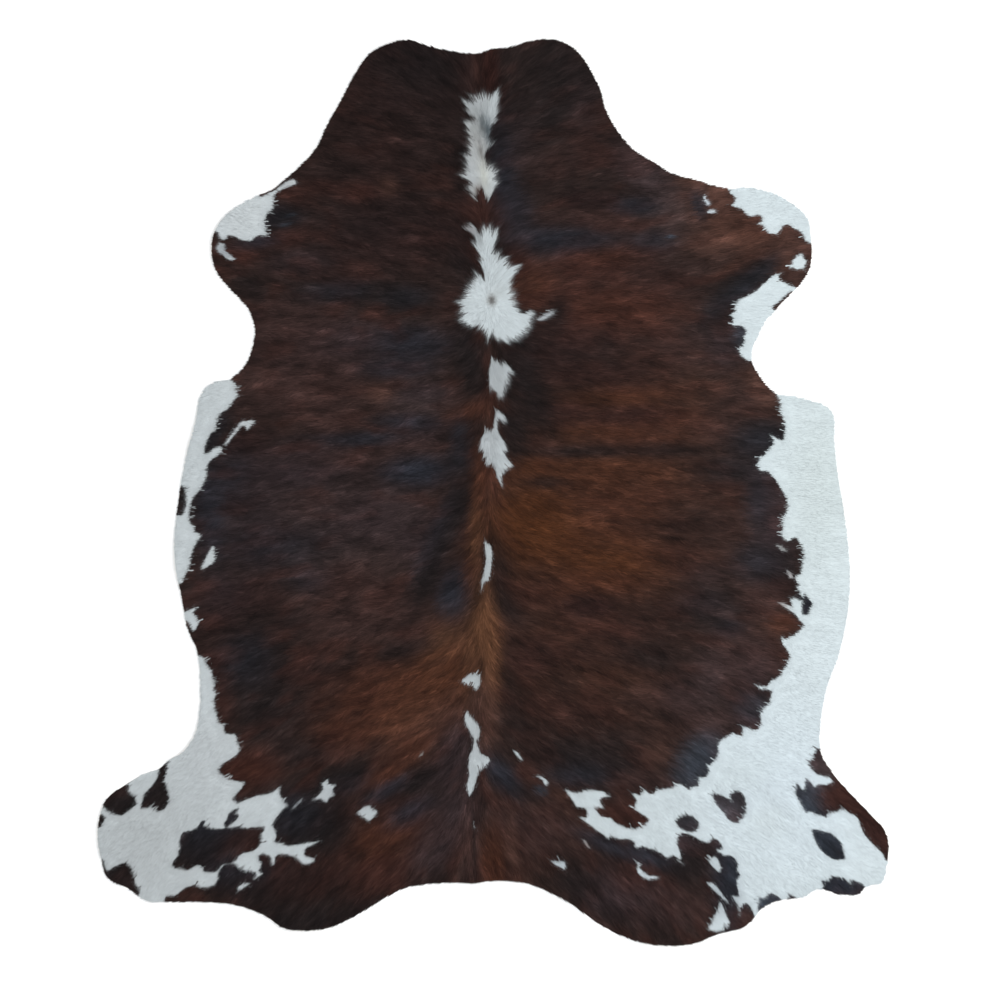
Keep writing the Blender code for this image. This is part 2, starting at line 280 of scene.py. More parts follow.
        (-668, -947), (-680, -957), (-700, -963), (-725, -955), (-745, -960), (-760, -972),
        (-775, -982), (-797, -982), (-800, -1010), (-860, -1020), (-990, -950), (-990, -730),
        (-880, -660), (-780, -610), (-740, -550), (-735, -450),
    ],
}

DARK = {
    "right heart": [
        (534, -736), (546, -734), (560, -739), (572, -745), (583, -750), (577, -738), (581, -730),
        (591, -725), (603, -729), (612, -740), (616, -760), (612, -780), (606, -792), (597, -803),
        (585, -802), (573, -794), (563, -780), (553, -768), (543, -756),
    ],
    "right round": [
        (443, -799), (456, -788), (471, -783), (488, -789), (500, -802), (502, -814), (489, -825),
        (475, -825), (458, -818),
    ],
    "right oval": [
        (776, -819), (790, -820), (805, -826), (820, -828), (835, -840), (848, -853), (853, -875),
        (856, -891), (843, -893), (828, -892), (812, -882), (798, -870), (788, -855), (782, -840),
    ],
    "right hock edge": [
        (786, -622), (780, -640), (776, -652), (769, -655), (775, -672), (790, -685), (805, -690),
        (818, -691), (829, -703), (815, -711), (795, -711), (782, -718), (775, -706), (762, -696),
        (760, -722), (752, -725), (740, -706), (735, -730), (745, -748), (762, -778), (775, -775),
        (785, -783), (800, -785), (810, -791), (816, -780), (840, -773), (851, -768), (865, -778),
        (880, -785), (890, -795), (895, -812), (903, -830), (915, -845), (930, -860), (950, -880),
        (956, -895), (990, -890), (980, -810), (860, -690), (820, -640), (797, -625),
    ],
    "right shank bottom": [
        (797, -975), (806, -958), (800, -944), (813, -946), (824, -933), (840, -936), (855, -940),
        (864, -949), (876, -957), (868, -944), (882, -945), (895, -950), (906, -960), (910, -990),
        (830, -1000),
    ],
    "right heel": [
        (645, -1030), (647, -997), (649, -983), (660, -990), (668, -979), (678, -974), (690, -981),
        (701, -990), (700, -1010),
    ],
    "right heel fleck": [(714, -993), (722, -977), (737, -985), (736, -1000)],
    "right belly fleck": [
        (760, -244), (767, -256), (778, -271), (771, -283), (767, -298), (754, -297), (752, -276),
        (757, -260),
    ],
    "right foreleg edge": [
        (726, 489), (713, 479), (697, 463), (679, 450), (684, 444), (700, 440), (760, 480),
    ],
    "left belly edge": [
        (-756, 16), (-749, 8), (-748, -30), (-752, -45), (-757, -55), (-790, -55), (-790, 10),
    ],
    "left foreleg edge": [(-692, 640), (-674, 630), (-672, 605), (-700, 600)],
    "left thigh block": [
        (-775, -913), (-781, -906), (-775, -894), (-764, -883), (-766, -875), (-760, -866),
        (-762, -854), (-760, -839), (-754, -826), (-737, -824), (-722, -818), (-714, -809),
        (-709, -799), (-702, -799), (-701, -809), (-690, -816), (-670, -820), (-640, -816),
        (-615, -812), (-604, -818), (-590, -816), (-573, -814), (-557, -815), (-558, -824),
        (-566, -830), (-564, -849), (-570, -860), (-581, -870), (-594, -875), (-610, -877),
        (-619, -883), (-627, -896), (-640, -902), (-657, -904), (-663, -910), (-672, -921),
        (-688, -925), (-701, -921), (-709, -910), (-720, -904), (-726, -908), (-737, -915),
        (-747, -919), (-760, -913),
    ],
    "left thigh lower": [
        (-667, -938), (-669, -927), (-661, -915), (-655, -908), (-640, -902), (-627, -905),
        (-615, -914), (-606, -922), (-590, -920), (-579, -925), (-577, -935), (-585, -938),
        (-580, -945), (-592, -951), (-608, -951), (-619, -958), (-622, -968), (-640, -985),
        (-690, -975),
    ],
    "left thigh nub": [
        (-655, -807), (-646, -795), (-644, -784), (-634, -774), (-619, -769), (-627, -780),
        (-619, -786), (-627, -799), (-642, -810), (-650, -816),
    ],
    "left hoof spot": [
        (-960, -752), (-940, -730), (-905, -700), (-884, -713), (-890, -728), (-876, -735),
        (-870, -748), (-867, -758), (-880, -768), (-895, -780), (-905, -785), (-920, -782),
        (-935, -775), (-945, -765),
    ],
    "left hock spot": [
        (-800, -650), (-792, -668), (-795, -685), (-801, -700), (-792, -720), (-787, -742),
        (-790, -756), (-800, -770), (-815, -776), (-826, -768), (-830, -759), (-840, -768),
        (-856, -768), (-853, -750), (-848, -735), (-835, -720), (-822, -705), (-815, -690),
        (-812, -672), (-820, -650),
    ],
    "left hoof edge": [
        (-980, -772), (-955, -782), (-944, -790), (-948, -801), (-955, -813), (-980, -815),
    ],
    "left hoof bottom": [
        (-975, -890), (-948, -893), (-944, -908), (-940, -921), (-930, -918), (-915, -908),
        (-903, -903), (-892, -900), (-880, -912), (-876, -926), (-873, -940), (-870, -955),
        (-858, -966), (-870, -1000), (-980, -960),
    ],
}

# ---------------------------------------------------------------------------------------------
# Colours
# ---------------------------------------------------------------------------------------------


def metres(millimetres):
    """A table's millimetres as an array of metres."""
    return np.array(millimetres, float) / 1000.0


def linear(red, green, blue):
    """The linear colour of an 8-bit sRGB one."""
    values = np.array([red, green, blue]) / 255.0
    return np.where(values <= 0.04045, values / 12.92, ((values + 0.055) / 1.055) ** 2.4)


PALETTE = {
    "brown": linear(50, 35, 31),
    "umber": linear(33, 25, 24),
    "black": linear(25, 22, 23),
    # The blue and the slate are partly the black hair's own blue-grey and partly painted sheen: the
    # sky's bluish reflection on black hair, put into the colour.
    "blue": linear(34, 38, 46),
    "slate": linear(52, 59, 68),
    "mauve": linear(50, 40, 43),
    "ash": linear(66, 54, 54),
    "pink": linear(61, 42, 39),
    "red": linear(62, 35, 29),
    "maroon": linear(42, 25, 23),
    "orange": linear(75, 42, 29),
    "flame": linear(84, 48, 29),
    "ochre": linear(100, 66, 45),
    "fawn": linear(82, 56, 48),
    "rust": linear(62, 37, 26),
    "amber": linear(80, 44, 20),
    "wine": linear(46, 22, 17),
}
# The left side's white is a little darker than the right side's: partly painted shade from light
# falling from the right. It is also more neutral in tone.
WHITE_RIGHT = linear(215, 225, 228)
WHITE_LEFT = linear(210, 216, 218)

# What the lit hair has to be scaled by to look like its colour.
BROWN_GAIN = 0.975
WHITE_GAIN = 0.875

# How much plain brown is mixed in everywhere, and how much red or umber the brindling adds to it
# for each unit of its strokes, which count up to a limit.
BASE_BROWN = 0.8
BRINDLE_SHIFT = 0.55
BRINDLE_LIMIT = 2.0

# How strongly the fine and the broad strokes change the brown and the white.
BROWN_STROKES = (0.15, 0.13)
WHITE_STROKES = (0.012, 0.014)

# Soft zones of each colour in the brown coat. Each one is x, y, half length and half width in
# millimetres, the heading of its length in degrees from +X, and its weight.
ZONES = {
    "umber": [
        (-240, 900, 220, 140, 60, 2.5), (130, 950, 200, 140, 100, 2), (180, 1060, 60, 40, 0, 1.8),
        (-440, -1020, 150, 35, 5, 5), (-350, 775, 100, 30, 0, 1.5), (730, 520, 50, 20, 60, 3),
        (420, 550, 80, 50, 0, 1.5), (300, 320, 100, 50, 0, 1.6), (240, -560, 180, 90, -10, 2.4),
        (500, -80, 100, 80, 0, 2.4), (380, -330, 140, 80, -10, 1.6), (55, -520, 100, 22, 100, 2.4),
        (100, -600, 60, 30, -20, 1.6), (340, -1050, 80, 18, -20, 2), (300, -1000, 140, 60, -20, 1.4),
    ],
    "black": [
        (-190, 1020, 100, 60, 110, 2.5), (-200, 930, 240, 140, 70, 1), (160, 960, 160, 120, 100, 1.6),
        (150, 930, 60, 30, 90, 2.4), (-85, 800, 120, 20, 90, 2), (-520, 667, 42, 24, 0, 11),
        (-260, 630, 220, 80, 0, 2), (-85, 560, 60, 25, 100, 2.2), (-300, 650, 50, 30, 0, 1.2),
        (-390, 490, 80, 25, 5, 5), (-220, 475, 70, 25, 0, 6), (-600, 510, 50, 20, -40, 1.6),
        (-60, 320, 90, 30, 100, 4.5), (-460, 125, 60, 12, 0, 1.5), (-80, 120, 60, 22, 60, 4.5),
        (-550, -80, 140, 100, 0, 1.4), (-85, -30, 80, 22, 75, 8), (-130, -130, 80, 18, 63, 8),
        (-165, -220, 60, 18, 65, 7), (-210, -380, 50, 18, 15, 3.2), (-590, -420, 70, 80, 0, 3.4),
        (-490, -310, 50, 30, 0, 1.2), (-540, -540, 90, 60, 0, 2.4), (-460, -630, 60, 30, 0, 2),
        (-360, -705, 60, 30, 20, 5), (-210, -725, 80, 18, 35, 3), (-450, -800, 80, 50, 0, 10),
        (-390, -850, 50, 40, 0, 4.5), (-47, -830, 110, 4, 92, 3.5), (-470, -1040, 160, 30, 5, 6),
        (-600, -970, 60, 30, -20, 4), (-600, -920, 60, 30, 0, 5), (-710, -830, 60, 50, 0, 4),
        (-640, -790, 30, 30, 90, 3), (-820, -720, 60, 50, 90, 4.5), (-910, -750, 60, 50, 0, 5),
        (-910, -940, 70, 50, 0, 6), (-760, -20, 50, 20, 90, 4), (-735, -860, 50, 50, 0, 5),
        (-675, 140, 50, 22, 60, 7), (-170, 1050, 120, 50, 0, 5), (235, 712, 45, 16, 0, 2.5),
        (600, 505, 90, 30, 45, 9), (560, 420, 50, 30, 90, 1.6), (165, 440, 35, 25, 90, 4.5),
        (170, 1050, 60, 50, 0, 2.5), (504, 700, 10, 26, 20, 4), (200, 330, 120, 50, 0, 2.4),
        (70, 310, 80, 35, 100, 8), (110, 220, 80, 35, 110, 8), (55, 140, 70, 30, 90, 8),
        (220, 98, 110, 12, 0, 8), (420, 100, 80, 13, 0, 4), (650, 125, 60, 40, 0, 9),
        (570, 55, 70, 35, 0, 3.5), (130, 25, 40, 14, 0, 8), (650, -170, 60, 50, 0, 3),
        (730, -160, 30, 50, 0, 3.5), (15, -190, 70, 25, 90, 3), (35, -270, 50, 20, -60, 2.8),
        (380, -400, 70, 30, -10, 4.5), (540, -280, 60, 50, 0, 6), (230, -650, 90, 40, -10, 7),
        (300, -600, 50, 30, -10, 1.8), (100, -740, 60, 18, -20, 3.4), (190, -940, 60, 30, -40, 3.4),
        (480, -910, 50, 35, 0, 3.4), (765, -270, 30, 20, 90, 4),
    ],
    "maroon": [
        (-330, 1000, 80, 50, 60, 1.5), (-250, 900, 220, 140, 70, 2.4), (-75, 1030, 50, 15, 90, 2),
        (-200, 620, 180, 70, 0, 2.6), (-600, 125, 50, 30, 0, 2.6), (-560, -250, 60, 40, 0, 2.2),
        (-670, -300, 60, 50, 90, 1.6), (-440, -430, 80, 50, 0, 0.9), (-460, -940, 120, 50, 10, 3),
        (-620, -850, 50, 30, 0, 2.5), (-690, -420, 50, 30, 90, 2.5), (235, 712, 50, 18, 0, 6),
        (170, 340, 120, 60, 0, 3.2), (180, 200, 50, 20, 0, 6), (240, 285, 120, 22, 0, 5),
        (340, 188, 80, 15, 0, 9), (450, -80, 60, 20, 0, 2.6), (710, -230, 40, 25, 0, 3),
        (240, -275, 45, 20, 0, 16), (460, -280, 70, 25, 0, 1.4), (110, -400, 60, 40, 0, 4.5),
        (220, -400, 60, 30, 0, 1.4), (920, -830, 90, 30, -50, 2.5),
    ],
    "red": [
        (-260, 850, 60, 40, 90, 0.9), (-40, 1040, 50, 15, 90, 3), (260, 890, 70, 30, 120, 0.9),
        (-20, 690, 60, 35, 0, 3), (-325, 735, 35, 22, 0, 6), (-450, 730, 60, 30, 20, 1),
        (-500, 625, 50, 22, 10, 3), (-610, 580, 50, 25, 0, 1.6), (-360, -220, 70, 40, 0, 1.8),
        (-660, -520, 50, 30, 90, 1.2), (-600, -675, 60, 35, 10, 4), (-360, -780, 40, 20, 40, 1.5),
        (-280, -930, 80, 40, 20, 2), (55, 570, 40, 30, 60, 2.4), (250, 560, 90, 30, 0, 3.2),
        (300, 460, 140, 50, 0, 2.4), (330, 420, 70, 25, 0, 1.4), (340, 160, 120, 50, 0, 2.5),
        (220, 300, 70, 30, 0, 1.4), (360, 330, 60, 40, 0, 1.2), (460, -150, 70, 30, 0, 1.8),
        (90, -250, 50, 30, 0, 1.6), (290, -330, 100, 30, -5, 2.4), (150, -530, 80, 30, -10, 2),
        (250, -530, 80, 30, -15, 1.4), (320, -780, 50, 30, 0, 2.4), (340, -940, 40, 40, 90, 2.8),
        (900, -800, 70, 30, -50, 3), (840, -740, 50, 40, -50, 2),
    ],
    "wine": [
        (-6, 1020, 70, 18, 92, 9),
    ],
    "mauve": [
        (220, 950, 60, 40, 100, 1.2), (70, 870, 70, 40, 90, 1), (-470, 560, 80, 30, 0, 1.2),
        (-460, 360, 140, 120, 0, 0.5), (-350, 370, 80, 40, 0, 1.6), (-180, 240, 60, 25, 0, 2.5),
        (-450, 70, 120, 50, 0, 2), (-170, 140, 70, 40, 0, 1.5), (-500, 40, 80, 25, 0, 1.8),
        (-580, -60, 100, 70, 90, 2), (-300, -60, 140, 60, 0, 2.4), (-190, -120, 50, 50, 0, 2.2),
        (-150, -170, 30, 20, 65, 1.5), (-100, -600, 50, 40, 90, 2.4), (-110, -680, 60, 30, 30, 1.6),
        (-90, -770, 60, 40, 60, 2.4), (-140, -850, 70, 45, 60, 2.6), (-660, -250, 60, 50, 0, 1.6),
        (370, 780, 80, 40, -40, 1.8), (570, 360, 50, 50, 90, 2), (520, -200, 50, 30, 0, 1.5),
        (530, -460, 50, 80, -10, 1.5), (450, -500, 50, 50, 0, 1.6), (620, -530, 40, 40, 0, 2),
        (690, -60, 100, 30, 90, 4), (630, -420, 50, 50, 0, 2.4), (280, -1000, 50, 30, 0, 1.5),
        (470, -850, 40, 30, 0, 2.6), (100, -820, 100, 50, -20, 1.8), (330, -980, 100, 50, -20, 2.4),
        (790, -650, 30, 40, 0, 5),
    ],
    # Partly painted sheen: the sky's bluish reflection on the black hair.
    "blue": [
        (25, 790, 110, 30, 95, 3.2), (55, 690, 60, 35, 115, 3.2), (-525, 667, 40, 20, 0, 3.5),
        (-570, 610, 50, 14, 10, 3), (-380, 490, 60, 20, 5, 3), (-220, 475, 40, 20, 0, 2.5),
        (-200, 360, 80, 35, 0, 2.8), (-240, 300, 80, 20, 0, 1.8), (-200, 170, 70, 18, 0, 2.8),
        (-320, 130, 90, 14, 0, 3.4), (-190, 50, 60, 28, 0, 8), (-90, 75, 30, 20, 0, 1.5),
        (-640, 30, 70, 40, 70, 1.6), (-680, 150, 50, 16, 70, 2), (-690, -50, 100, 30, 95, 2.8),
        (-140, -100, 100, 20, 65, 3), (-100, -250, 50, 30, 80, 7), (-530, -130, 100, 40, 0, 1.8),
        (-450, -210, 50, 30, 0, 1.4), (-350, -715, 50, 20, 10, 2.5), (-210, -785, 50, 22, 30, 6),
        (-260, -725, 50, 18, 30, 3), (-700, -810, 50, 30, 0, 4), (-640, -790, 30, 30, 90, 3),
        (-620, -920, 60, 30, 0, 3.5), (-720, -840, 50, 40, 0, 3), (-480, -790, 60, 40, 0, 5),
        (-600, -410, 50, 50, 0, 2.5), (-85, 130, 50, 18, 90, 4), (350, 695, 50, 20, 0, 2.8),
        (508, 705, 12, 30, 0, 5), (170, 615, 100, 28, 0, 3.8), (400, 610, 50, 25, 0, 2),
        (610, 500, 80, 18, 42, 5), (502, 700, 10, 26, 20, 8), (655, 125, 50, 30, 0, 6),
        (600, 55, 60, 30, 0, 1.2), (650, -30, 30, 70, 0, 3), (650, -170, 50, 40, 0, 4),
        (520, -270, 50, 30, -10, 1.6), (580, -330, 30, 20, 0, 2), (220, -685, 60, 25, 0, 4),
        (30, -695, 50, 22, -50, 5), (280, -860, 80, 16, -25, 3.4), (380, -885, 50, 18, -20, 4.5),
        (575, -950, 80, 30, 90, 6), (820, -860, 50, 50, 0, 8), (850, -955, 60, 20, 0, 10),
        (765, -275, 30, 20, 90, 8),
    ],
    "pink": [
        (150, 800, 60, 40, 0, 1.3), (-45, 735, 30, 20, 60, 2), (-280, 570, 80, 25, 0, 1.2),
        (-490, 400, 100, 60, 0, 1.8), (-100, 450, 50, 40, 90, 1.4), (-480, 250, 140, 70, 0, 2.2),
        (-390, 250, 60, 40, 0, 1.5), (-390, 170, 50, 30, 0, 2.4), (-200, 120, 70, 16, 0, 2.2),
        (-350, 80, 100, 20, 0, 2.2), (-420, -40, 100, 30, 0, 1.4), (-360, -310, 100, 50, 0, 2),
        (-240, -270, 60, 40, 0, 2), (-200, -345, 50, 40, 40, 2), (-55, -860, 100, 22, 95, 3),
        (-62, 1025, 50, 18, 90, 3.4), (200, 665, 90, 20, 0, 2.2), (310, 650, 70, 25, 0, 1.8),
        (750, 600, 30, 50, 0, 2), (430, 520, 80, 40, 0, 1), (460, 350, 50, 40, 0, 3),
        (600, 220, 60, 40, 0, 1.6), (550, 150, 60, 30, 0, 1.8), (570, -80, 50, 40, 0, 1.4),
        (640, -270, 40, 40, 0, 2), (650, -260, 50, 40, 0, 2.6), (620, -400, 60, 50, 0, 3.6),
        (370, -500, 40, 30, 0, 1.8), (510, -560, 60, 30, 0, 2), (350, -700, 50, 25, 0, 2.2),
        (150, -790, 50, 30, -30, 2.4), (100, -880, 40, 40, 0, 1.8), (450, -1010, 90, 35, 0, 2.6),
        (600, -1030, 30, 30, 0, 3),
    ],
    "fawn": [
        (-257, 745, 18, 18, 0, 8), (-275, 240, 28, 16, 0, 3), (-150, -560, 60, 40, 30, 1.8),
        (-180, -530, 80, 60, 30, 1.6), (550, 690, 70, 50, -20, 3.2), (520, 745, 60, 20, -20, 4),
        (640, 620, 70, 40, 0, 1.6), (520, 610, 70, 40, 0, 1.3), (730, 570, 30, 80, 0, 3),
        (745, 604, 20, 6, -20, 8), (660, 250, 50, 25, -50, 1.8), (-18, -510, 80, 22, 92, 5),
        (400, -620, 40, 28, 90, 2), (50, -850, 60, 12, 95, 3.4),
    ],
    # Partly grey hair and partly painted sheen on the black hair.
    "slate": [
        (-507, 651, 12, 4, 15, 9), (-500, 674, 10, 4, 20, 7), (436, 622, 7, 3, 0, 12),
        (605, 385, 30, 15, 90, 4), (635, -530, 30, 30, 0, 3), (500, -650, 60, 33, 60, 5.5),
        (585, -930, 40, 15, 90, 3), (118, -727, 12, 10, 0, 4), (470, -800, 30, 30, 0, 1.2),
        (575, -765, 50, 50, 0, 2.5), (800, -850, 40, 40, 0, 6), (760, -740, 50, 30, 90, 10),
        (670, -990, 40, 20, 0, 8),
    ],
    "ash": [
        (-170, 220, 80, 30, 0, 1.6), (-410, -40, 120, 60, 0, 0.9), (-220, -60, 80, 60, 90, 1),
        (-370, -190, 130, 80, 0, 1), (-130, -830, 70, 35, 60, 1.4), (450, 680, 50, 50, 90, 1.3),
        (390, 765, 60, 30, -40, 1.3), (530, -480, 40, 90, -10, 0.9), (575, -290, 20, 12, 0, 4),
        (575, -765, 50, 50, 0, 2), (790, -670, 35, 35, 0, 9),
    ],
    "orange": [
        (-60, 195, 55, 22, 15, 3), (-35, 10, 70, 22, 90, 3.2), (-60, -200, 50, 18, 80, 2.4),
        (-300, -470, 100, 40, 10, 1.4), (-340, -560, 100, 50, 10, 1.8), (-600, -675, 40, 20, 0, 2),
        (-200, -620, 70, 20, 30, 2.4), (-270, -690, 70, 16, 30, 3.5), (-280, -840, 90, 45, 20, 3.6),
        (-15, -890, 50, 15, 90, 2.4), (620, 640, 90, 40, -20, 1.5), (620, 560, 60, 20, 30, 1.5),
        (100, 500, 50, 40, 0, 1.6), (270, 570, 60, 20, 0, 1.5), (300, 445, 110, 40, 0, 1.6),
        (320, 238, 100, 18, 0, 1.8), (420, 180, 70, 20, 0, 1.6), (300, 50, 120, 25, 0, 2.6),
        (300, -20, 120, 50, 0, 2.4), (280, -100, 120, 60, 0, 1.6), (250, -225, 100, 30, 0, 3.5),
        (710, -320, 40, 25, 0, 1.6), (8, -900, 70, 18, 90, 4),
    ],
    "ochre": [
        (-45, -100, 100, 14, 88, 2.4), (-120, -350, 60, 40, 60, 1), (-12, -365, 95, 22, 92, 9.5),
        (-40, -360, 100, 30, 80, 1.6),
    ],
    "flame": [
        (-160, -480, 100, 60, 40, 3), (-200, -550, 70, 50, 0, 1.6), (90, 55, 60, 28, 0, 3),
    ],
    "rust": [
        (300, 50, 140, 40, 0, 2.5), (280, -100, 340, 200, 0, 2), (260, -480, 240, 120, -10, 1.6),
        (300, 200, 260, 120, 0, 1.2), (120, -820, 120, 100, 0, 1.4),
    ],
    "amber": [
        (280, 225, 100, 18, 0, 1), (300, 145, 140, 18, 0, 1.2), (240, 50, 140, 30, 0, 1.2),
        (110, -80, 80, 70, 0, 7), (300, -170, 90, 45, 0, 2.8), (220, -140, 100, 50, 0, 2),
    ],
}

# Soft places that tint the white, and broad places that paint light and shade on it: x, y, half length
# and half width in millimetres, the heading in degrees, and what they multiply the red, green and blue
# by.
SHADES = [
    ("whorl", -3, 467, 12, 9, 100, (0.16, 0.14, 0.13)),
    ("whorl halo", 10, 482, 30, 18, 45, (0.88, 0.87, 0.86)),
    ("blaze streak", -10, 879, 28, 8, 100, (0.22, 0.25, 0.27)),
    ("blaze streak left", -27, 903, 20, 6, 95, (0.36, 0.38, 0.39)),
    ("blaze grey", -20, 893, 34, 22, 95, (0.7, 0.72, 0.73)),
    ("blaze nick", -29, 828, 22, 5, 105, (0.58, 0.55, 0.53)),
    ("blaze cream", -22, 775, 40, 14, 100, (1.14, 1.12, 1.02)),
    ("blaze middle", -40, 875, 50, 30, 90, (0.72, 0.7, 0.68)),
    ("blaze top", -30, 950, 30, 50, 90, (0.8, 0.79, 0.79)),
    ("blaze foot", -42, 738, 16, 9, 60, (0.66, 0.6, 0.56)),
    ("star top left", -60, 642, 20, 10, 155, (0.55, 0.5, 0.5)),
    ("star top", -35, 625, 22, 8, 100, (0.62, 0.62, 0.62)),
    ("star notch", 12, 585, 12, 10, 60, (0.72, 0.7, 0.7)),
    ("star wisp", 130, 430, 30, 20, 30, (0.88, 0.85, 0.87)),
    ("withers patch", 15, 270, 60, 30, 100, (0.72, 0.7, 0.7)),
    ("back patch", 0, 110, 90, 40, 90, (0.78, 0.76, 0.76)),
    ("loin", -30, -300, 260, 60, 90, (0.74, 0.72, 0.72)),
    ("rump patch", -45, -640, 90, 30, 90, (0.86, 0.85, 0.85)),
    ("rump wisps", 95, -670, 70, 45, 120, (0.85, 0.85, 0.86)),
    ("right thigh fleck", 165, -905, 40, 25, 0, (0.85, 0.85, 0.88)),
    ("right thigh streak", 230, -857, 25, 15, 0, (0.5, 0.4, 0.38)),
    ("tail fleck", -45, -812, 15, 15, 0, (0.5, 0.47, 0.46)),
    ("left rump fleck", -176, -637, 20, 20, 0, (0.46, 0.4, 0.37)),
    ("left thigh streak", -478, -758, 25, 15, 0, (0.52, 0.52, 0.54)),
    ("left thigh spots", -360, -750, 90, 50, 0, (0.8, 0.79, 0.8)),
    ("left flank strand", -620, 150, 50, 30, 0, (0.9, 0.88, 0.88)),
    ("left wrist", -655, 588, 30, 25, 0, (0.66, 0.66, 0.68)),
    ("left elbow strand", -500, 750, 35, 18, 0, (0.88, 0.86, 0.86)),
    ("right shoulder", 524, 700, 30, 25, 0, (0.86, 0.84, 0.88)),
    ("right crescent", 378, -920, 40, 35, 0, (0.92, 0.92, 0.94)),
    ("right slivers", 552, -985, 60, 40, 0, (0.7, 0.7, 0.72)),
    ("right thigh smudge", 462, -902, 12, 8, 0, (0.4, 0.36, 0.36)),
    ("right flank streak", 705, -135, 24, 12, -30, (0.4, 0.36, 0.35)),
    ("right flank hole", 724, -200, 16, 10, -60, (0.55, 0.47, 0.46)),
    ("right flank strand", 700, -272, 20, 8, -30, (0.55, 0.45, 0.43)),
    ("right hole", 542, -905, 25, 30, 0, (0.84, 0.84, 0.84)),
    # Painted light and shade: these five broad places darken the left hind leg, left shank and right
    # belly, and brighten the right leg (bluer too) and the left foreleg, following how the light falls
    # across the white.
    ("left hind leg", -840, -850, 160, 160, 0, (0.86, 0.85, 0.845)),
    ("left shank", -700, -620, 100, 100, 0, (0.95, 0.94, 0.94)),
    ("right belly", 800, 20, 250, 100, 90, (0.93, 0.93, 0.905)),
    ("right leg", 700, -740, 200, 200, 90, (1.02, 1.03, 1.06)),
    ("left foreleg", -610, 670, 80, 60, 30, (1.06, 1.05, 1.045)),
    ("blaze warmth", -30, 820, 140, 60, 90, (0.85, 0.81, 0.8)),
    ("right stain", 610, -690, 80, 50, 20, (0.98, 0.98, 0.965)),
    ("right stain low", 670, -800, 60, 50, 0, (0.98, 0.975, 0.955)),
]

# ---------------------------------------------------------------------------------------------
# The plan: fields worked out on a grid over the hide and read off between its points
# ---------------------------------------------------------------------------------------------

# The grid's spacing and corners.
CELL = 0.0025
PLAN_LOW = np.array([-1.02, -1.16])
PLAN_HIGH = -PLAN_LOW
PLAN_X = np.arange(PLAN_LOW[0], PLAN_HIGH[0], CELL)
PLAN_Y = np.arange(PLAN_LOW[1], PLAN_HIGH[1], CELL)

# Distances from an outline are worked out this far from it.
REACH = 0.03

# A hump is worked out this many times its larger half size from its middle.
HUMP_REACH = 2.4


def blank_plan():
    """A plan that is zero all over."""
    return np.zeros((len(PLAN_Y), len(PLAN_X)))


def window(low, high):
    """The part of the plan between two corners."""
    first = np.maximum(((low - PLAN_LOW) / CELL).astype(int), 0)
    last = np.maximum(((high - PLAN_LOW) / CELL).astype(int) + 2, 0)
    return slice(first[1], last[1]), slice(first[0], last[0])


def read_off(plan, points):
    """The plan's value at each point, between its grid points."""
    place = (points - PLAN_LOW) / CELL
    place = np.clip(place, 0, [len(PLAN_X) - 1.001, len(PLAN_Y) - 1.001])
    column, row = place.astype(int).T
    right, up = (place - np.floor(place)).T
    low = plan[row, column] * (1 - right) + plan[row, column + 1] * right
    high = plan[row + 1, column] * (1 - right) + plan[row + 1, column + 1] * right
    return low * (1 - up) + high * up


def distance_inside(outline):
    """How far each grid point is inside the outline, negative outside, no more than REACH."""
    near = np.full((len(PLAN_Y), len(PLAN_X)), REACH)
    inside = np.zeros(near.shape, bool)
    for start, end in zip(outline, np.roll(outline, -1, axis=0)):
        rows, columns = window(np.minimum(start, end) - REACH, np.maximum(start, end) + REACH)
        run = end - start
        away_x = PLAN_X[None, columns] - start[0]
        away_y = PLAN_Y[rows, None] - start[1]
        share = np.clip((away_x * run[0] + away_y * run[1]) / max(run @ run, 1e-12), 0.0, 1.0)
        distance = np.hypot(away_x - share * run[0], away_y - share * run[1])
        near[rows, columns] = np.minimum(near[rows, columns], distance)
        crossed = (PLAN_Y > start[1]) != (PLAN_Y > end[1])
        if crossed.any():
            meets = start[0] + (PLAN_Y[crossed] - start[1]) * run[0] / run[1]
            inside[crossed] ^= PLAN_X[None] > meets[:, None]
    return np.where(inside, near, -near)


def markings():
    """How far each grid point is inside the white, negative in the brown."""
    white = np.max([distance_inside(metres(outline)) for outline in WHITE.values()], axis=0)
    dark = np.max([distance_inside(metres(outline)) for outline in DARK.values()], axis=0)
    return np.minimum(white, -dark)


def hump(points_x, points_y, x, y, half_length, half_width, heading):
    """One at (x, y), fading to nothing over the half sizes."""
    turn = math.radians(heading)
    along = (points_x - x) * math.cos(turn) + (points_y - y) * math.sin(turn)
    across = (points_y - y) * math.cos(turn) - (points_x - x) * math.sin(turn)
    return np.exp(-((along / half_length) ** 2) - (across / half_width) ** 2)


def spread(plan, x, y, half_length, half_width, heading, strength):
    """Adds a hump to the plan, working only on the part that it reaches."""
    reach = HUMP_REACH * max(half_length, half_width)
    centre = np.array([x, y])
    rows, columns = window(centre - reach, centre + reach)
    shape = hump(
        PLAN_X[None, columns], PLAN_Y[rows, None], x, y, half_length, half_width, heading
    )
    plan[rows, columns] += strength * shape


# ---------------------------------------------------------------------------------------------
# How the hair lies
# ---------------------------------------------------------------------------------------------

# The hair's lean away from the spine, in degrees far out at the flank, at each y.
LEAN_Y = [-1.10, -0.90, -0.60, -0.30, 0.00, 0.30, 0.90, 1.10]
LEAN = [40.0, 45.0, 60.0, 75.0, 82.0, 85.0, 80.0, 60.0]

# How far from the spine the hair takes to turn to that lean, at each y: least beside the blaze.
TURNING_Y = [0.60, 0.74, 0.90, 0.97]
TURNING = [0.045, 0.024, 0.028, 0.055]

# The whorl's half size, and how far ahead of and behind it the hair takes to part.
WHORL_SIZE = 0.03
WHORL_PARTING = 0.035

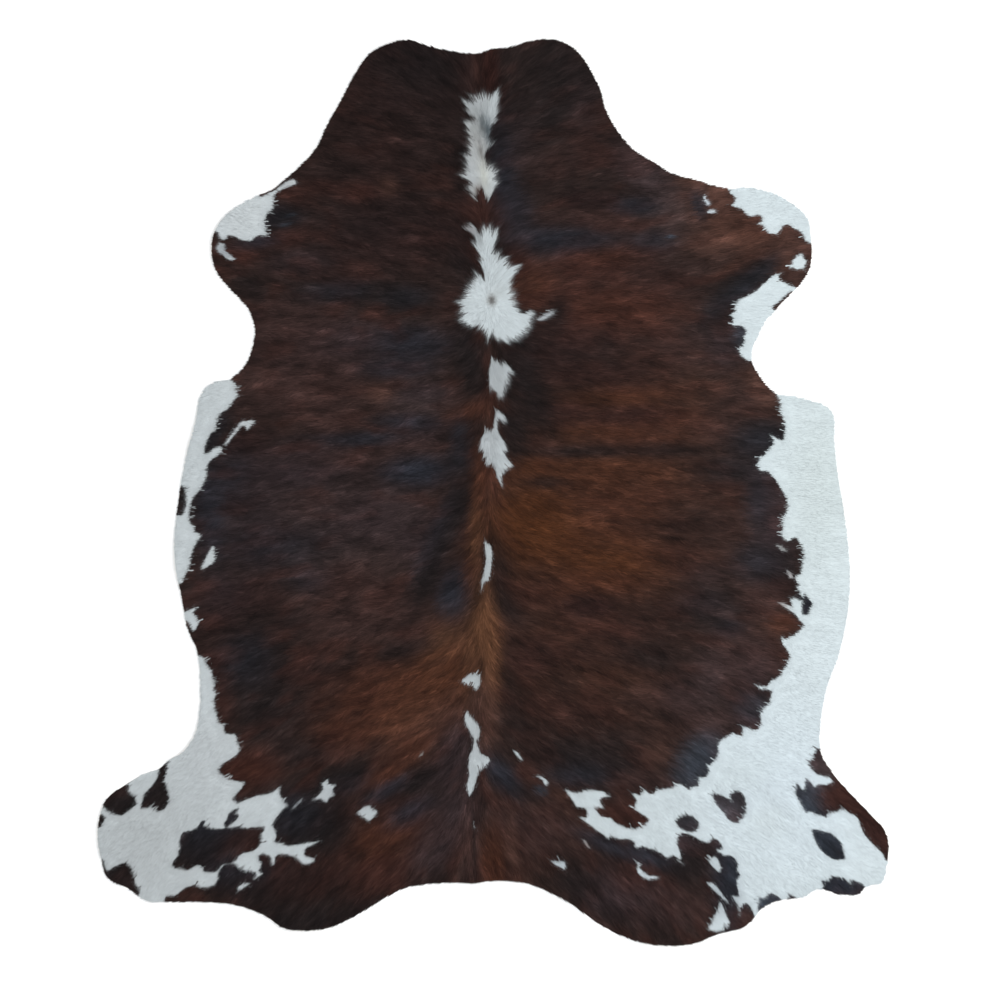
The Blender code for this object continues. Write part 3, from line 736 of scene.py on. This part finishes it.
# The strokes that brindle the coat: spacing, half length and half width, then how these sizes
# vary, as shares, and the degrees that the headings scatter by.
STROKES = {
    "fine": (0.007, 0.014, 0.0038),
    "broad": (0.015, 0.026, 0.0095),
    "warm": (0.018, 0.032, 0.014),
}
STROKE_LENGTHS = (0.5, 1.4)
STROKE_WIDTHS = (0.6, 1.4)
STROKE_SCATTER = 6.0


def smooth_step(value, low, high):
    """Nothing at low and before it, one at high and beyond it, and smooth between them."""
    share = np.clip((value - low) / (high - low), 0.0, 1.0)
    return share * share * (3.0 - 2.0 * share)


def flow(points):
    """The way the hair lies at each point, as unit vectors: out from the whorl on all sides."""
    spine_y, spine_x = np.array(SPINE).T
    side = points[:, 0] - np.interp(points[:, 1], spine_y, spine_x)
    above = points[:, 1] - WHORL[1]
    widest = np.interp(points[:, 1], LEAN_Y, LEAN)
    turning = np.interp(points[:, 1], TURNING_Y, TURNING)
    lean = np.radians(widest) * (1.0 - np.exp(-np.abs(side) / turning))
    way = np.column_stack([
        np.sign(side) * np.sin(lean),
        np.tanh(above / WHORL_PARTING) * np.cos(lean),
    ])
    from_whorl = points - WHORL
    close = np.exp(-(from_whorl ** 2).sum(axis=1) / WHORL_SIZE ** 2)[:, None]
    way = way * (1.0 - close) + close * from_whorl / WHORL_SIZE
    return way / np.maximum(np.linalg.norm(way, axis=1, keepdims=True), 1e-6)


def strokes(random, spacing, half_length, half_width):
    """Lighter and darker soft strokes laid along the hair, of about unit size."""
    plan = blank_plan()
    low = PLAN_LOW + REACH
    high = PLAN_HIGH - REACH
    count = int((high - low).prod() / spacing ** 2)
    centres = random.uniform(low, high, (count, 2))
    ways = flow(centres)
    headings = np.degrees(np.arctan2(ways[:, 1], ways[:, 0]))
    headings = headings + random.normal(0.0, STROKE_SCATTER, count)
    lengths = half_length * random.uniform(*STROKE_LENGTHS, count)
    widths = half_width * random.uniform(*STROKE_WIDTHS, count)
    strengths = random.normal(0.0, 1.0, count)
    for stroke in zip(*centres.T, lengths, widths, headings, strengths):
        spread(plan, *stroke)
    return plan / plan.std()


# ---------------------------------------------------------------------------------------------
# The coat's colour
# ---------------------------------------------------------------------------------------------

# Lying hair carries the white past its outline, so the white starts this far inside it: on the
# sides, and on the back, where the strands are long.
MARK_INSET = (0.0010, 0.0020)

# Half the width of the change from brown to white, in the hair and in the skin under it.
HAIR_SOFTNESS = 0.0018
SKIN_SOFTNESS = 0.004

# The white turns from the left side's to the right side's between this far left and right. The left
# side's is a little darker, partly painted shade from light falling from the right, and more neutral.
WHITE_TURN = 0.75

# Where the back's long strands fade in: from none to all, by distance from the middle, and by y.
BACK_SIDE = (0.30, 0.15)
BACK_START = (-0.15, 0.35)


def coat_plans(random):
    """The plans that the coat's colour is worked out from."""
    weights = {name: blank_plan() for name in PALETTE}
    for name, zones in ZONES.items():
        for *place, heading, weight in zones:
            spread(weights[name], *metres(place), heading, weight)
    shades = []
    for channel in range(3):
        shade = blank_plan()
        for _, *place, heading, tint in SHADES:
            spread(shade, *metres(place), heading, math.log(tint[channel]))
        shades.append(shade)
    plans = {"white": markings(), "weights": weights, "shades": shades}
    for name, sizes in STROKES.items():
        plans[name] = strokes(random, *sizes)
    return plans


def stroke_tone(plans, points, fine, broad):
    """How much lighter or darker the strokes make each point."""
    tone = fine * read_off(plans["fine"], points) + broad * read_off(plans["broad"], points)
    return np.exp(tone)[:, None]


def brown_hair(plans, points):
    """The brown at each point: the zones' colours, brindled along the hair."""
    warm = read_off(plans["warm"], points)
    amounts = {name: read_off(plan, points) for name, plan in plans["weights"].items()}
    amounts["brown"] += BASE_BROWN
    amounts["red"] += BRINDLE_SHIFT * np.clip(warm, 0.0, BRINDLE_LIMIT)
    amounts["umber"] += BRINDLE_SHIFT * np.clip(-warm, 0.0, BRINDLE_LIMIT)
    total = sum(amounts.values())
    colour = sum((amounts[name] / total)[:, None] * PALETTE[name] for name in PALETTE)
    return colour * BROWN_GAIN * stroke_tone(plans, points, *BROWN_STROKES)


def white_hair(plans, points):
    """The white at each point: cool, a little greyer and darker on the left, partly as painted shade,
    with its soft tints and its painted light and shade.
    """
    to_right = smooth_step(points[:, 0], -WHITE_TURN, WHITE_TURN)[:, None]
    colour = WHITE_LEFT * (1.0 - to_right) + WHITE_RIGHT * to_right
    tint = np.column_stack([np.exp(read_off(shade, points)) for shade in plans["shades"]])
    return colour * WHITE_GAIN * tint * stroke_tone(plans, points, *WHITE_STROKES)


def mixed(pair, share):
    """From the pair's first value, where the share is nothing, to its second, where it is one."""
    return pair[0] + (pair[1] - pair[0]) * share


def fringe(points):
    """One along the back, where the white ends in long strands, fading to nothing beside it."""
    on_back = smooth_step(np.abs(points[:, 0]), *BACK_SIDE)
    return on_back * smooth_step(points[:, 1], *BACK_START)


def coat(plans, points, softness=HAIR_SOFTNESS):
    """The coat's linear colour at each point."""
    inside = read_off(plans["white"], points) - mixed(MARK_INSET, fringe(points))
    share = smooth_step(inside, -softness, softness)[:, None]
    return brown_hair(plans, points) * (1.0 - share) + white_hair(plans, points) * share


# ---------------------------------------------------------------------------------------------
# The skin's shape
# ---------------------------------------------------------------------------------------------

# Mesh spacing, and how far the inner points keep from the edge.
EDGE_STEP = 0.008
TOP_STEP = 0.0095
TOP_CLEARANCE = 0.006
UNDER_STEP = 0.030
UNDER_CLEARANCE = 0.015

# The cut edge: how high its widest line is, as a share of the leather, and how far inside that
# line the top and the underside start.
CUT_SHARE = 0.6
ROLL_INSET = 0.0012
UNDER_INSET = 0.0010

# The texture layout: the coat lies left of the first share of the width, the underside right of
# the second.
COAT_LAYOUT = 0.87
UNDER_LAYOUT = 0.88


def lift(points):
    """Height of the underside over the floor."""
    height = np.zeros(len(points))
    for _, x, y, heading, half_length, half_width, crest in WAVES:
        height += crest * hump(
            points[:, 0], points[:, 1], x, y, half_length, half_width, heading
        )
    return np.maximum(height - WAVE_FOOT, 0.0)


def pile(points):
    """Height of the lying hair over the skin."""
    over_back = np.exp(-((points[:, 0] / BACK_HALF_WIDTH) ** 2))
    return mixed((PILE_AT_BELLY, PILE_OVER_BACK), over_back)


def widest_ring():
    """The CAD solid's widest ring of points, where its rising and its falling faces meet."""
    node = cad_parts["hide"]
    spots = [tuple(round(c, 6) for c in node.matrix_world @ v.co) for v in node.data.vertices]
    rising = {}
    for face in node.data.polygons:
        corners = [spots[v] for v in face.vertices]
        for edge in zip(corners, corners[1:] + corners[:1]):
            rising.setdefault(frozenset(edge), []).append(face.normal.z > 0.0)
    follows = {}
    for edge, sides in rising.items():
        if len(sides) == 2 and sides[0] != sides[1]:
            a, b = edge
            follows.setdefault(a, []).append(b)
            follows.setdefault(b, []).append(a)
    first = min(follows)
    ring = [first, follows[first][0]]
    while True:
        onward = [spot for spot in follows[ring[-1]] if spot != ring[-2]]
        if onward[0] == first:
            break
        ring.append(onward[0])
    return np.array(ring)[:, :2]


def cut_line():
    """The hide's outline as a smooth loop of evenly spaced points, counter-clockwise."""
    loop = widest_ring()
    ahead = np.roll(loop, -1, axis=0)
    area = (loop[:, 0] * ahead[:, 1] - loop[:, 1] * ahead[:, 0]).sum()
    return evenly_spaced(smoothed(loop if area > 0 else loop[::-1]), EDGE_STEP)


def smoothed(loop, per_span=6):
    """A closed Catmull-Rom curve through the loop's points."""
    before, after = np.roll(loop, 1, axis=0), np.roll(loop, -1, axis=0)
    later = np.roll(loop, -2, axis=0)
    spans = []
    for t in np.linspace(0.0, 1.0, per_span, endpoint=False):
        spans.append(0.5 * (
            2 * loop + (after - before) * t
            + (2 * before - 5 * loop + 4 * after - later) * t ** 2
            + (3 * loop - before - 3 * after + later) * t ** 3
        ))
    return np.stack(spans, axis=1).reshape(-1, 2)


def evenly_spaced(loop, step):
    """Points at equal distances round a closed loop, about step apart."""
    closed = np.vstack([loop, loop[:1]])
    along = np.concatenate([[0.0], np.cumsum(np.linalg.norm(np.diff(closed, axis=0), axis=1))])
    places = np.linspace(0.0, along[-1], round(along[-1] / step), endpoint=False)
    return np.stack([np.interp(places, along, closed[:, axis]) for axis in (0, 1)], axis=1)


def inset(loop, distance):
    """The counter-clockwise loop moved inwards."""
    along = np.roll(loop, -1, axis=0) - np.roll(loop, 1, axis=0)
    along /= np.linalg.norm(along, axis=1, keepdims=True)
    return loop + distance * np.stack([-along[:, 1], along[:, 0]], axis=1)


def lattice(step, shuffle=0.0, random=None):
    """Staggered rows of points over the whole plan."""
    rows = np.arange(PLAN_LOW[1] + step, PLAN_HIGH[1] - step, step * math.sqrt(3.0) / 2.0)
    columns = np.arange(PLAN_LOW[0] + step, PLAN_HIGH[0] - step, step)
    x, y = np.meshgrid(columns, rows)
    x = x + step / 2.0 * (np.arange(len(rows)) % 2)[:, None]
    points = np.column_stack([x.ravel(), y.ravel()])
    if random is not None:
        points = points + random.uniform(-shuffle * step, shuffle * step, points.shape)
    return points


def triangulated(loop, depth, clearance, step):
    """Triangles over the inside of the loop: the points added inside it, and the faces."""
    added = lattice(step)
    added = added[read_off(depth, added) > clearance]
    points = np.vstack([loop, added])
    ring = list(range(len(loop)))
    _, _, faces, origins, _, _ = delaunay_2d_cdt(
        [Vector(point) for point in points], [], [ring], 1, 1e-7
    )
    source = [found[0] for found in origins]
    return added, [[source[spot] for spot in face] for face in faces]


def strip(lower, upper, count):
    """Quads between two rings whose first vertices are lower and upper."""
    return [
        (lower + i, lower + (i + 1) % count, upper + (i + 1) % count, upper + i)
        for i in range(count)
    ]


def on_plan(points, left, right):
    """Texture coordinates of plan points, across the layout from left to right."""
    across, up = ((points - PLAN_LOW) / (PLAN_HIGH - PLAN_LOW)).T
    return np.column_stack([left + (right - left) * across, up])


def skin_layout(mesh, flat, is_below):
    """Texture places of the skin's face corners: the coat's on the left, the underside's right."""
    corners = np.empty(len(mesh.loops), int)
    mesh.loops.foreach_get("vertex_index", corners)
    sizes = np.empty(len(mesh.polygons), int)
    mesh.polygons.foreach_get("loop_total", sizes)
    above_places = on_plan(flat[corners], 0.0, COAT_LAYOUT)
    below_places = on_plan(flat[corners], UNDER_LAYOUT, 1.0)
    return np.where(np.repeat(is_below, sizes)[:, None], below_places, above_places)


def make_skin(edge, depth, plans):
    """The skin as one closed thin sheet, coloured above and suede below."""
    top_ring = inset(edge, ROLL_INSET)
    under_ring = inset(edge, UNDER_INSET)
    top_added, top_faces = triangulated(top_ring, depth, TOP_CLEARANCE, TOP_STEP)
    under_added, under_faces = triangulated(under_ring, depth, UNDER_CLEARANCE, UNDER_STEP)
    count = len(edge)
    flat = np.vstack([edge, top_ring, top_added, under_ring, under_added])
    over_floor = np.concatenate([
        np.full(count, CUT_SHARE * LEATHER),
        np.full(count + len(top_added), LEATHER),
        np.zeros(count + len(under_added)),
    ])
    first_under = 2 * count + len(top_added)
    upper = strip(0, count, count) + [tuple(count + v for v in face) for face in top_faces]
    lower = strip(first_under, 0, count)
    lower += [tuple(first_under + v for v in reversed(face)) for face in under_faces]

    mesh = bpy.data.meshes.new("hide_skin")
    heights = lift(flat) + over_floor
    mesh.from_pydata(np.column_stack([flat, heights]).tolist(), [], upper + lower)
    mesh.shade_smooth()
    is_below = np.arange(len(mesh.polygons)) >= len(upper)
    mesh.materials.append(hair_material())
    mesh.materials.append(suede_material())
    mesh.polygons.foreach_set("material_index", is_below.astype(int))
    paint(mesh, coat(plans, flat, SKIN_SOFTNESS))
    lay_out(mesh, skin_layout(mesh, flat, is_below))
    return add(mesh)


def paint(mesh, colours):
    """Gives each vertex its coat colour."""
    layer = mesh.color_attributes.new("coat", "FLOAT_COLOR", "POINT")
    opaque = np.column_stack([colours, np.ones(len(colours))])
    layer.data.foreach_set("color", opaque.ravel())


def lay_out(mesh, corner_places):
    """Gives the mesh its texture layout, one place for each face corner."""
    layout = mesh.uv_layers.new(name="OFBake")
    layout.data.foreach_set("uv", np.ascontiguousarray(corner_places).ravel())


def add(mesh):
    """Puts the mesh in the scene as a piece of its own name."""
    piece = bpy.data.objects.new(mesh.name, mesh)
    bpy.context.scene.collection.objects.link(piece)
    return piece


# ---------------------------------------------------------------------------------------------
# Hair, as closed locks lying on the skin
# ---------------------------------------------------------------------------------------------

# Two sizes of lock: spacing, length range, width range. The fine ones grow within FINE_REACH of
# where brown meets white, and are shorter and wider on the sides than on the back.
BROAD_LOCKS = (0.0047, (0.017, 0.027), (0.0034, 0.0048))
FINE_LOCKS = (0.0030, (0.013, 0.024), (0.0017, 0.0028))
FINE_REACH = 0.013
FINE_LENGTH = (0.50, 1.0)
FINE_WIDTH = (1.20, 1.0)

# How far a root strays from its place in the lattice, in spacings, and keeps from the edge.
LOCK_SHUFFLE = 0.45
ROOT_CLEARANCE = 0.0005

# Near the whorl the locks are shorter.
WHORL_LENGTH = (0.35, 1.0)
WHORL_REACH = (0.004, 0.035)

# A lock's two root corners are sunk into the skin. Its ridge is at a share of its length, a share
# of its tip's height and up to LOCK_RIDGE more, and its tip at a share of the pile's height, less
# on short locks.
LOCK_SUNK = 0.0004
RIDGE_PLACE = 0.35
RIDGE_LIFT = 0.40
LOCK_RIDGE = 0.0009
TIP_LIFT = (0.35, 0.95)
SHORTEST_LIFT = 0.3
LOCK_FACES = np.array([(0, 1, 2), (0, 2, 3), (2, 1, 3), (1, 0, 3)])

# How far a tip may stand past the cut line, and the least share of a lock that the cut leaves.
OVERHANG = (0.001, 0.0045)
SHORTEST_CUT = 0.1

# A lock is mostly of one colour, the coat's at a share of its length. That share varies within
# COLOUR_SHARE on the back and keeps near SIDE_SHARE on the sides. OWN_COLOUR is how much of the
# lock is that one colour, on the sides and on the back.
COLOUR_SHARE = (0.55, 0.95)
SIDE_SHARE = 0.64
SIDE_SPREAD = 0.3
OWN_COLOUR = (0.96, 0.72)

# How much the tone varies from lock to lock, in brown and in white hair, and how it changes from
# the root corners to the ridge and the tip. WHITE_EDGE is half the width of the change from brown
# to white, and BRIGHTEST the most that a colour may be.
LOCK_TONE = (0.15, 0.014)
ALONG_LOCK = np.array([0.86, 0.86, 1.0, 1.06])
WHITE_EDGE = 0.001
BRIGHTEST = 0.95

# A lock's place in the texture layout is drawn in to this share of its size.
LAYOUT_SHRINK = 0.25

# Degrees that a lock turns from the flow: alone, and together with its neighbours.
SPLAY = 7.0
CLUMP_SPLAY = 7.0

# The shading: how round a lock is and how far it tilts at random, in brown and in white hair, and
# how far its tip leans.
ROUNDNESS = (0.30, 0.06)
TILT = (0.10, 0.025)
TIP_LEAN = 0.10

BAND_NAMES = ["hair_rump", "hair_loin", "hair_flanks", "hair_shoulders", "hair_neck"]


def locks_of_size(is_fine, depth, plans, random):
    """Roots, lengths and widths of the fine locks along the markings, or of the broad others."""
    spacing, length_range, width_range = FINE_LOCKS if is_fine else BROAD_LOCKS
    roots = lattice(spacing, LOCK_SHUFFLE, random)
    roots = roots[read_off(depth, roots) > ROOT_CLEARANCE]
    at_marking = np.abs(read_off(plans["white"], roots)) < FINE_REACH
    roots = roots[at_marking == is_fine]
    lengths = random.uniform(*length_range, len(roots))
    widths = random.uniform(*width_range, len(roots))
    if is_fine:
        lengths *= mixed(FINE_LENGTH, fringe(roots))
        widths *= mixed(FINE_WIDTH, fringe(roots))
    return roots, lengths, widths


def grow_locks(depth, plans, random):
    """Every lock's root, way, length and width."""
    broad = locks_of_size(False, depth, plans, random)
    fine = locks_of_size(True, depth, plans, random)
    roots, lengths, widths = [np.concatenate(both) for both in zip(broad, fine)]
    from_whorl = np.linalg.norm(roots - WHORL, axis=1)
    lengths *= mixed(WHORL_LENGTH, smooth_step(from_whorl, *WHORL_REACH))
    ways = flow(roots)
    turn = CLUMP_SPLAY * read_off(plans["broad"], roots) + random.normal(0.0, SPLAY, len(roots))
    turn = np.radians(turn)
    ways = np.column_stack([
        ways[:, 0] * np.cos(turn) - ways[:, 1] * np.sin(turn),
        ways[:, 0] * np.sin(turn) + ways[:, 1] * np.cos(turn),
    ])
    return roots, ways, kept_on_hide(depth, roots, ways, lengths, random), widths


def kept_on_hide(depth, roots, ways, lengths, random):
    """The lengths, cut where a tip would stand too far past the cut line."""
    root_depth = read_off(depth, roots)
    tip_depth = read_off(depth, roots + ways * lengths[:, None])
    overhang = random.uniform(*OVERHANG, len(roots))
    reach = (root_depth + overhang) / np.maximum(root_depth - tip_depth, 1e-4)
    return np.where(tip_depth < -overhang, lengths * np.clip(reach, SHORTEST_CUT, 1.0), lengths)


def lock_vertices(flat, tips, lengths, widths, random):
    """The root corners, ridge and tip of each lock, lying on the skin."""
    over_skin = np.empty(flat.shape[:2])
    over_skin[:, :2] = -LOCK_SUNK
    lying = pile(tips) * random.uniform(*TIP_LIFT, len(tips))
    lying *= np.clip(lengths / BROAD_LOCKS[1][0], SHORTEST_LIFT, 1.0)
    over_skin[:, 2] = RIDGE_LIFT * lying + LOCK_RIDGE * widths / BROAD_LOCKS[2][1]
    over_skin[:, 3] = lying
    places = flat.reshape(-1, 2)
    return np.column_stack([places, lift(places) + LEATHER + over_skin.ravel()])


def lock_colours(plans, flat, seen, own, white, random):
    """The colour of each lock's four points: own is the share of the coat's colour at seen."""
    own = own[:, None, None]
    colours = coat(plans, seen)[:, None] * own
    colours = colours + coat(plans, flat.reshape(-1, 2)).reshape(-1, 4, 3) * (1.0 - own)
    tone = np.exp(random.normal(0.0, 1.0, len(seen)) * mixed(LOCK_TONE, white))
    colours = colours * tone[:, None, None] * ALONG_LOCK[None, :, None]
    return np.clip(colours, 0.0, BRIGHTEST).reshape(-1, 3)


def lock_normals(ways, aside, white, random):
    """Shading normals that turn the flat locks into round ones."""
    outward = np.zeros((len(ways), 4, 3))
    outward[:, :, 2] = 1.0
    roundness = mixed(ROUNDNESS, white)[:, None]
    outward[:, 0, :2] = roundness * aside / np.linalg.norm(aside, axis=1, keepdims=True)
    outward[:, 1, :2] = -outward[:, 0, :2]
    outward[:, 3, :2] = TIP_LEAN * ways
    tilt = random.normal(0.0, 1.0, (len(ways), 2)) * mixed(TILT, white)[:, None]
    outward[:, :, :2] += tilt[:, None]
    outward /= np.linalg.norm(outward, axis=2, keepdims=True)
    return outward.reshape(-1, 3)


def make_band(name, locks, plans, random):
    """One band of the coat as a mesh of closed four-sided locks."""
    roots, ways, lengths, widths = locks
    aside = np.column_stack([-ways[:, 1], ways[:, 0]]) * widths[:, None] / 2.0
    tips = roots + ways * lengths[:, None]
    ridges = roots + ways * lengths[:, None] * RIDGE_PLACE
    flat = np.stack([roots + aside, roots - aside, ridges, tips], axis=1)
    vertices = lock_vertices(flat, tips, lengths, widths, random)
    faces = (LOCK_FACES[None] + 4 * np.arange(len(roots))[:, None, None]).reshape(-1, 3)
    mesh = bpy.data.meshes.new(name)
    mesh.from_pydata(vertices, [], faces)
    mesh.shade_smooth()
    mesh.materials.append(hair_material())

    share = random.uniform(*COLOUR_SHARE, len(roots))
    share = SIDE_SHARE + (share - SIDE_SHARE) * np.maximum(fringe(roots), SIDE_SPREAD)
    seen = roots + ways * (lengths * share)[:, None]
    white = smooth_step(read_off(plans["white"], seen), -WHITE_EDGE, WHITE_EDGE)
    own = mixed(OWN_COLOUR, fringe(roots))
    paint(mesh, lock_colours(plans, flat, seen, own, white, random))
    drawn_in = seen[:, None] + (flat - seen[:, None]) * LAYOUT_SHRINK
    lay_out(mesh, on_plan(drawn_in.reshape(-1, 2)[faces.reshape(-1)], 0.0, 1.0))
    mesh.normals_split_custom_set_from_vertices(lock_normals(ways, aside, white, random))
    return add(mesh)


def make_coat(depth, plans, random):
    """The whole coat, in bands from the rump to the neck."""
    locks = grow_locks(depth, plans, random)
    order = np.argsort(locks[0][:, 1], kind="stable")
    shares = np.array_split(order, len(BAND_NAMES))
    return [
        make_band(name, [values[share] for values in locks], plans, random)
        for name, share in zip(BAND_NAMES, shares)
    ]


# ---------------------------------------------------------------------------------------------
# Materials
# ---------------------------------------------------------------------------------------------


def new_material(name, roughness, specular):
    """A material with its roughness and specular level set, and its shader."""
    material = bpy.data.materials.new(name)
    material.use_nodes = True
    shader = material.node_tree.nodes["Principled BSDF"]
    shader.inputs["Roughness"].default_value = roughness
    shader.inputs["Specular IOR Level"].default_value = specular
    return material, shader


def hair_material():
    """Short soft cow hair, coloured by the coat attribute."""
    material = bpy.data.materials.get("cow_hair")
    if material:
        return material
    material, shader = new_material("cow_hair", 0.55, 0.06)
    attribute = material.node_tree.nodes.new("ShaderNodeAttribute")
    attribute.attribute_name = "coat"
    material.node_tree.links.new(attribute.outputs["Color"], shader.inputs["Base Color"])
    return material


def suede_material():
    """The flesh side: buffed pale suede with a faint mottle."""
    material, shader = new_material("suede", 0.92, 0.15)
    nodes = material.node_tree.nodes
    links = material.node_tree.links
    place = nodes.new("ShaderNodeTexCoord")
    mottle = nodes.new("ShaderNodeTexNoise")
    mottle.inputs["Scale"].default_value = 14.0
    mottle.inputs["Detail"].default_value = 6.0
    tones = nodes.new("ShaderNodeValToRGB")
    tones.color_ramp.elements[0].color = (*linear(186, 165, 138), 1.0)
    tones.color_ramp.elements[1].color = (*linear(214, 198, 174), 1.0)
    links.new(place.outputs["Object"], mottle.inputs["Vector"])
    links.new(mottle.outputs["Fac"], tones.inputs["Fac"])
    links.new(tones.outputs["Color"], shader.inputs["Base Color"])
    return material


# ---------------------------------------------------------------------------------------------
# Floor, light and camera
# ---------------------------------------------------------------------------------------------

FLOOR_HALF = 12.0
FLOOR_GAP = 0.0005

# The lamp points at the middle of the hide, and the camera straight down.
KEY_PLACE = (3.2, 0.2, 2.8)
CAMERA_PLACE = (-0.001, 0.0, 6.652)


def make_floor():
    """A plain white floor, lightened a little so that hardly a shadow shows on it."""
    mesh = bpy.data.meshes.new("floor")
    corners = [(-1, -1), (1, -1), (1, 1), (-1, 1)]
    places = [(x * FLOOR_HALF, y * FLOOR_HALF, 0.0) for x, y in corners]
    mesh.from_pydata(places, [], [(0, 1, 2, 3)])
    material, shader = new_material("floor", 0.9, 0.1)
    shader.inputs["Base Color"].default_value = (0.93, 0.93, 0.93, 1.0)
    shader.inputs["Emission Color"].default_value = (1.0, 1.0, 1.0, 1.0)
    shader.inputs["Emission Strength"].default_value = 0.16
    mesh.materials.append(material)
    floor = add(mesh)
    floor.location.z = -FLOOR_GAP
    return floor


def light_scene():
    """An even pale sky, and one soft lamp from the right that brings out the hair."""
    world = bpy.data.worlds.new("studio")
    bpy.context.scene.world = world
    world.use_nodes = True
    sky = world.node_tree.nodes["Background"]
    sky.inputs["Color"].default_value = (0.96, 0.985, 1.0, 1.0)
    sky.inputs["Strength"].default_value = 0.95

    data = bpy.data.lights.new("key", "AREA")
    data.shape = "RECTANGLE"
    data.size = 2.4
    data.size_y = 3.0
    data.energy = 95.0
    data.color = (0.98, 0.99, 1.0)
    key = bpy.data.objects.new("key", data)
    key.location = KEY_PLACE
    key.rotation_euler = (-Vector(KEY_PLACE)).to_track_quat("-Z", "Y").to_euler()
    bpy.context.scene.collection.objects.link(key)


def place_camera():
    """A camera looking straight down from above the middle of the hide."""
    data = bpy.data.cameras.new("camera")
    data.lens = 100.0
    data.sensor_width = 36.0
    camera = bpy.data.objects.new("camera", data)
    camera.location = CAMERA_PLACE
    bpy.context.scene.collection.objects.link(camera)
    bpy.context.scene.camera = camera


def main():
    """Makes every piece, hangs each from the root body, and sets the stage round them."""
    random = np.random.default_rng(SEED)
    edge = cut_line()
    depth = distance_inside(edge)
    plans = coat_plans(random)
    skin = make_skin(edge, depth, plans)
    bands = make_coat(depth, plans, random)
    for piece in [skin, *bands]:
        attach(piece, "root")
    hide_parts("hide")
    make_floor()
    light_scene()
    place_camera()
    bpy.context.scene.view_settings.view_transform = "Standard"


main()
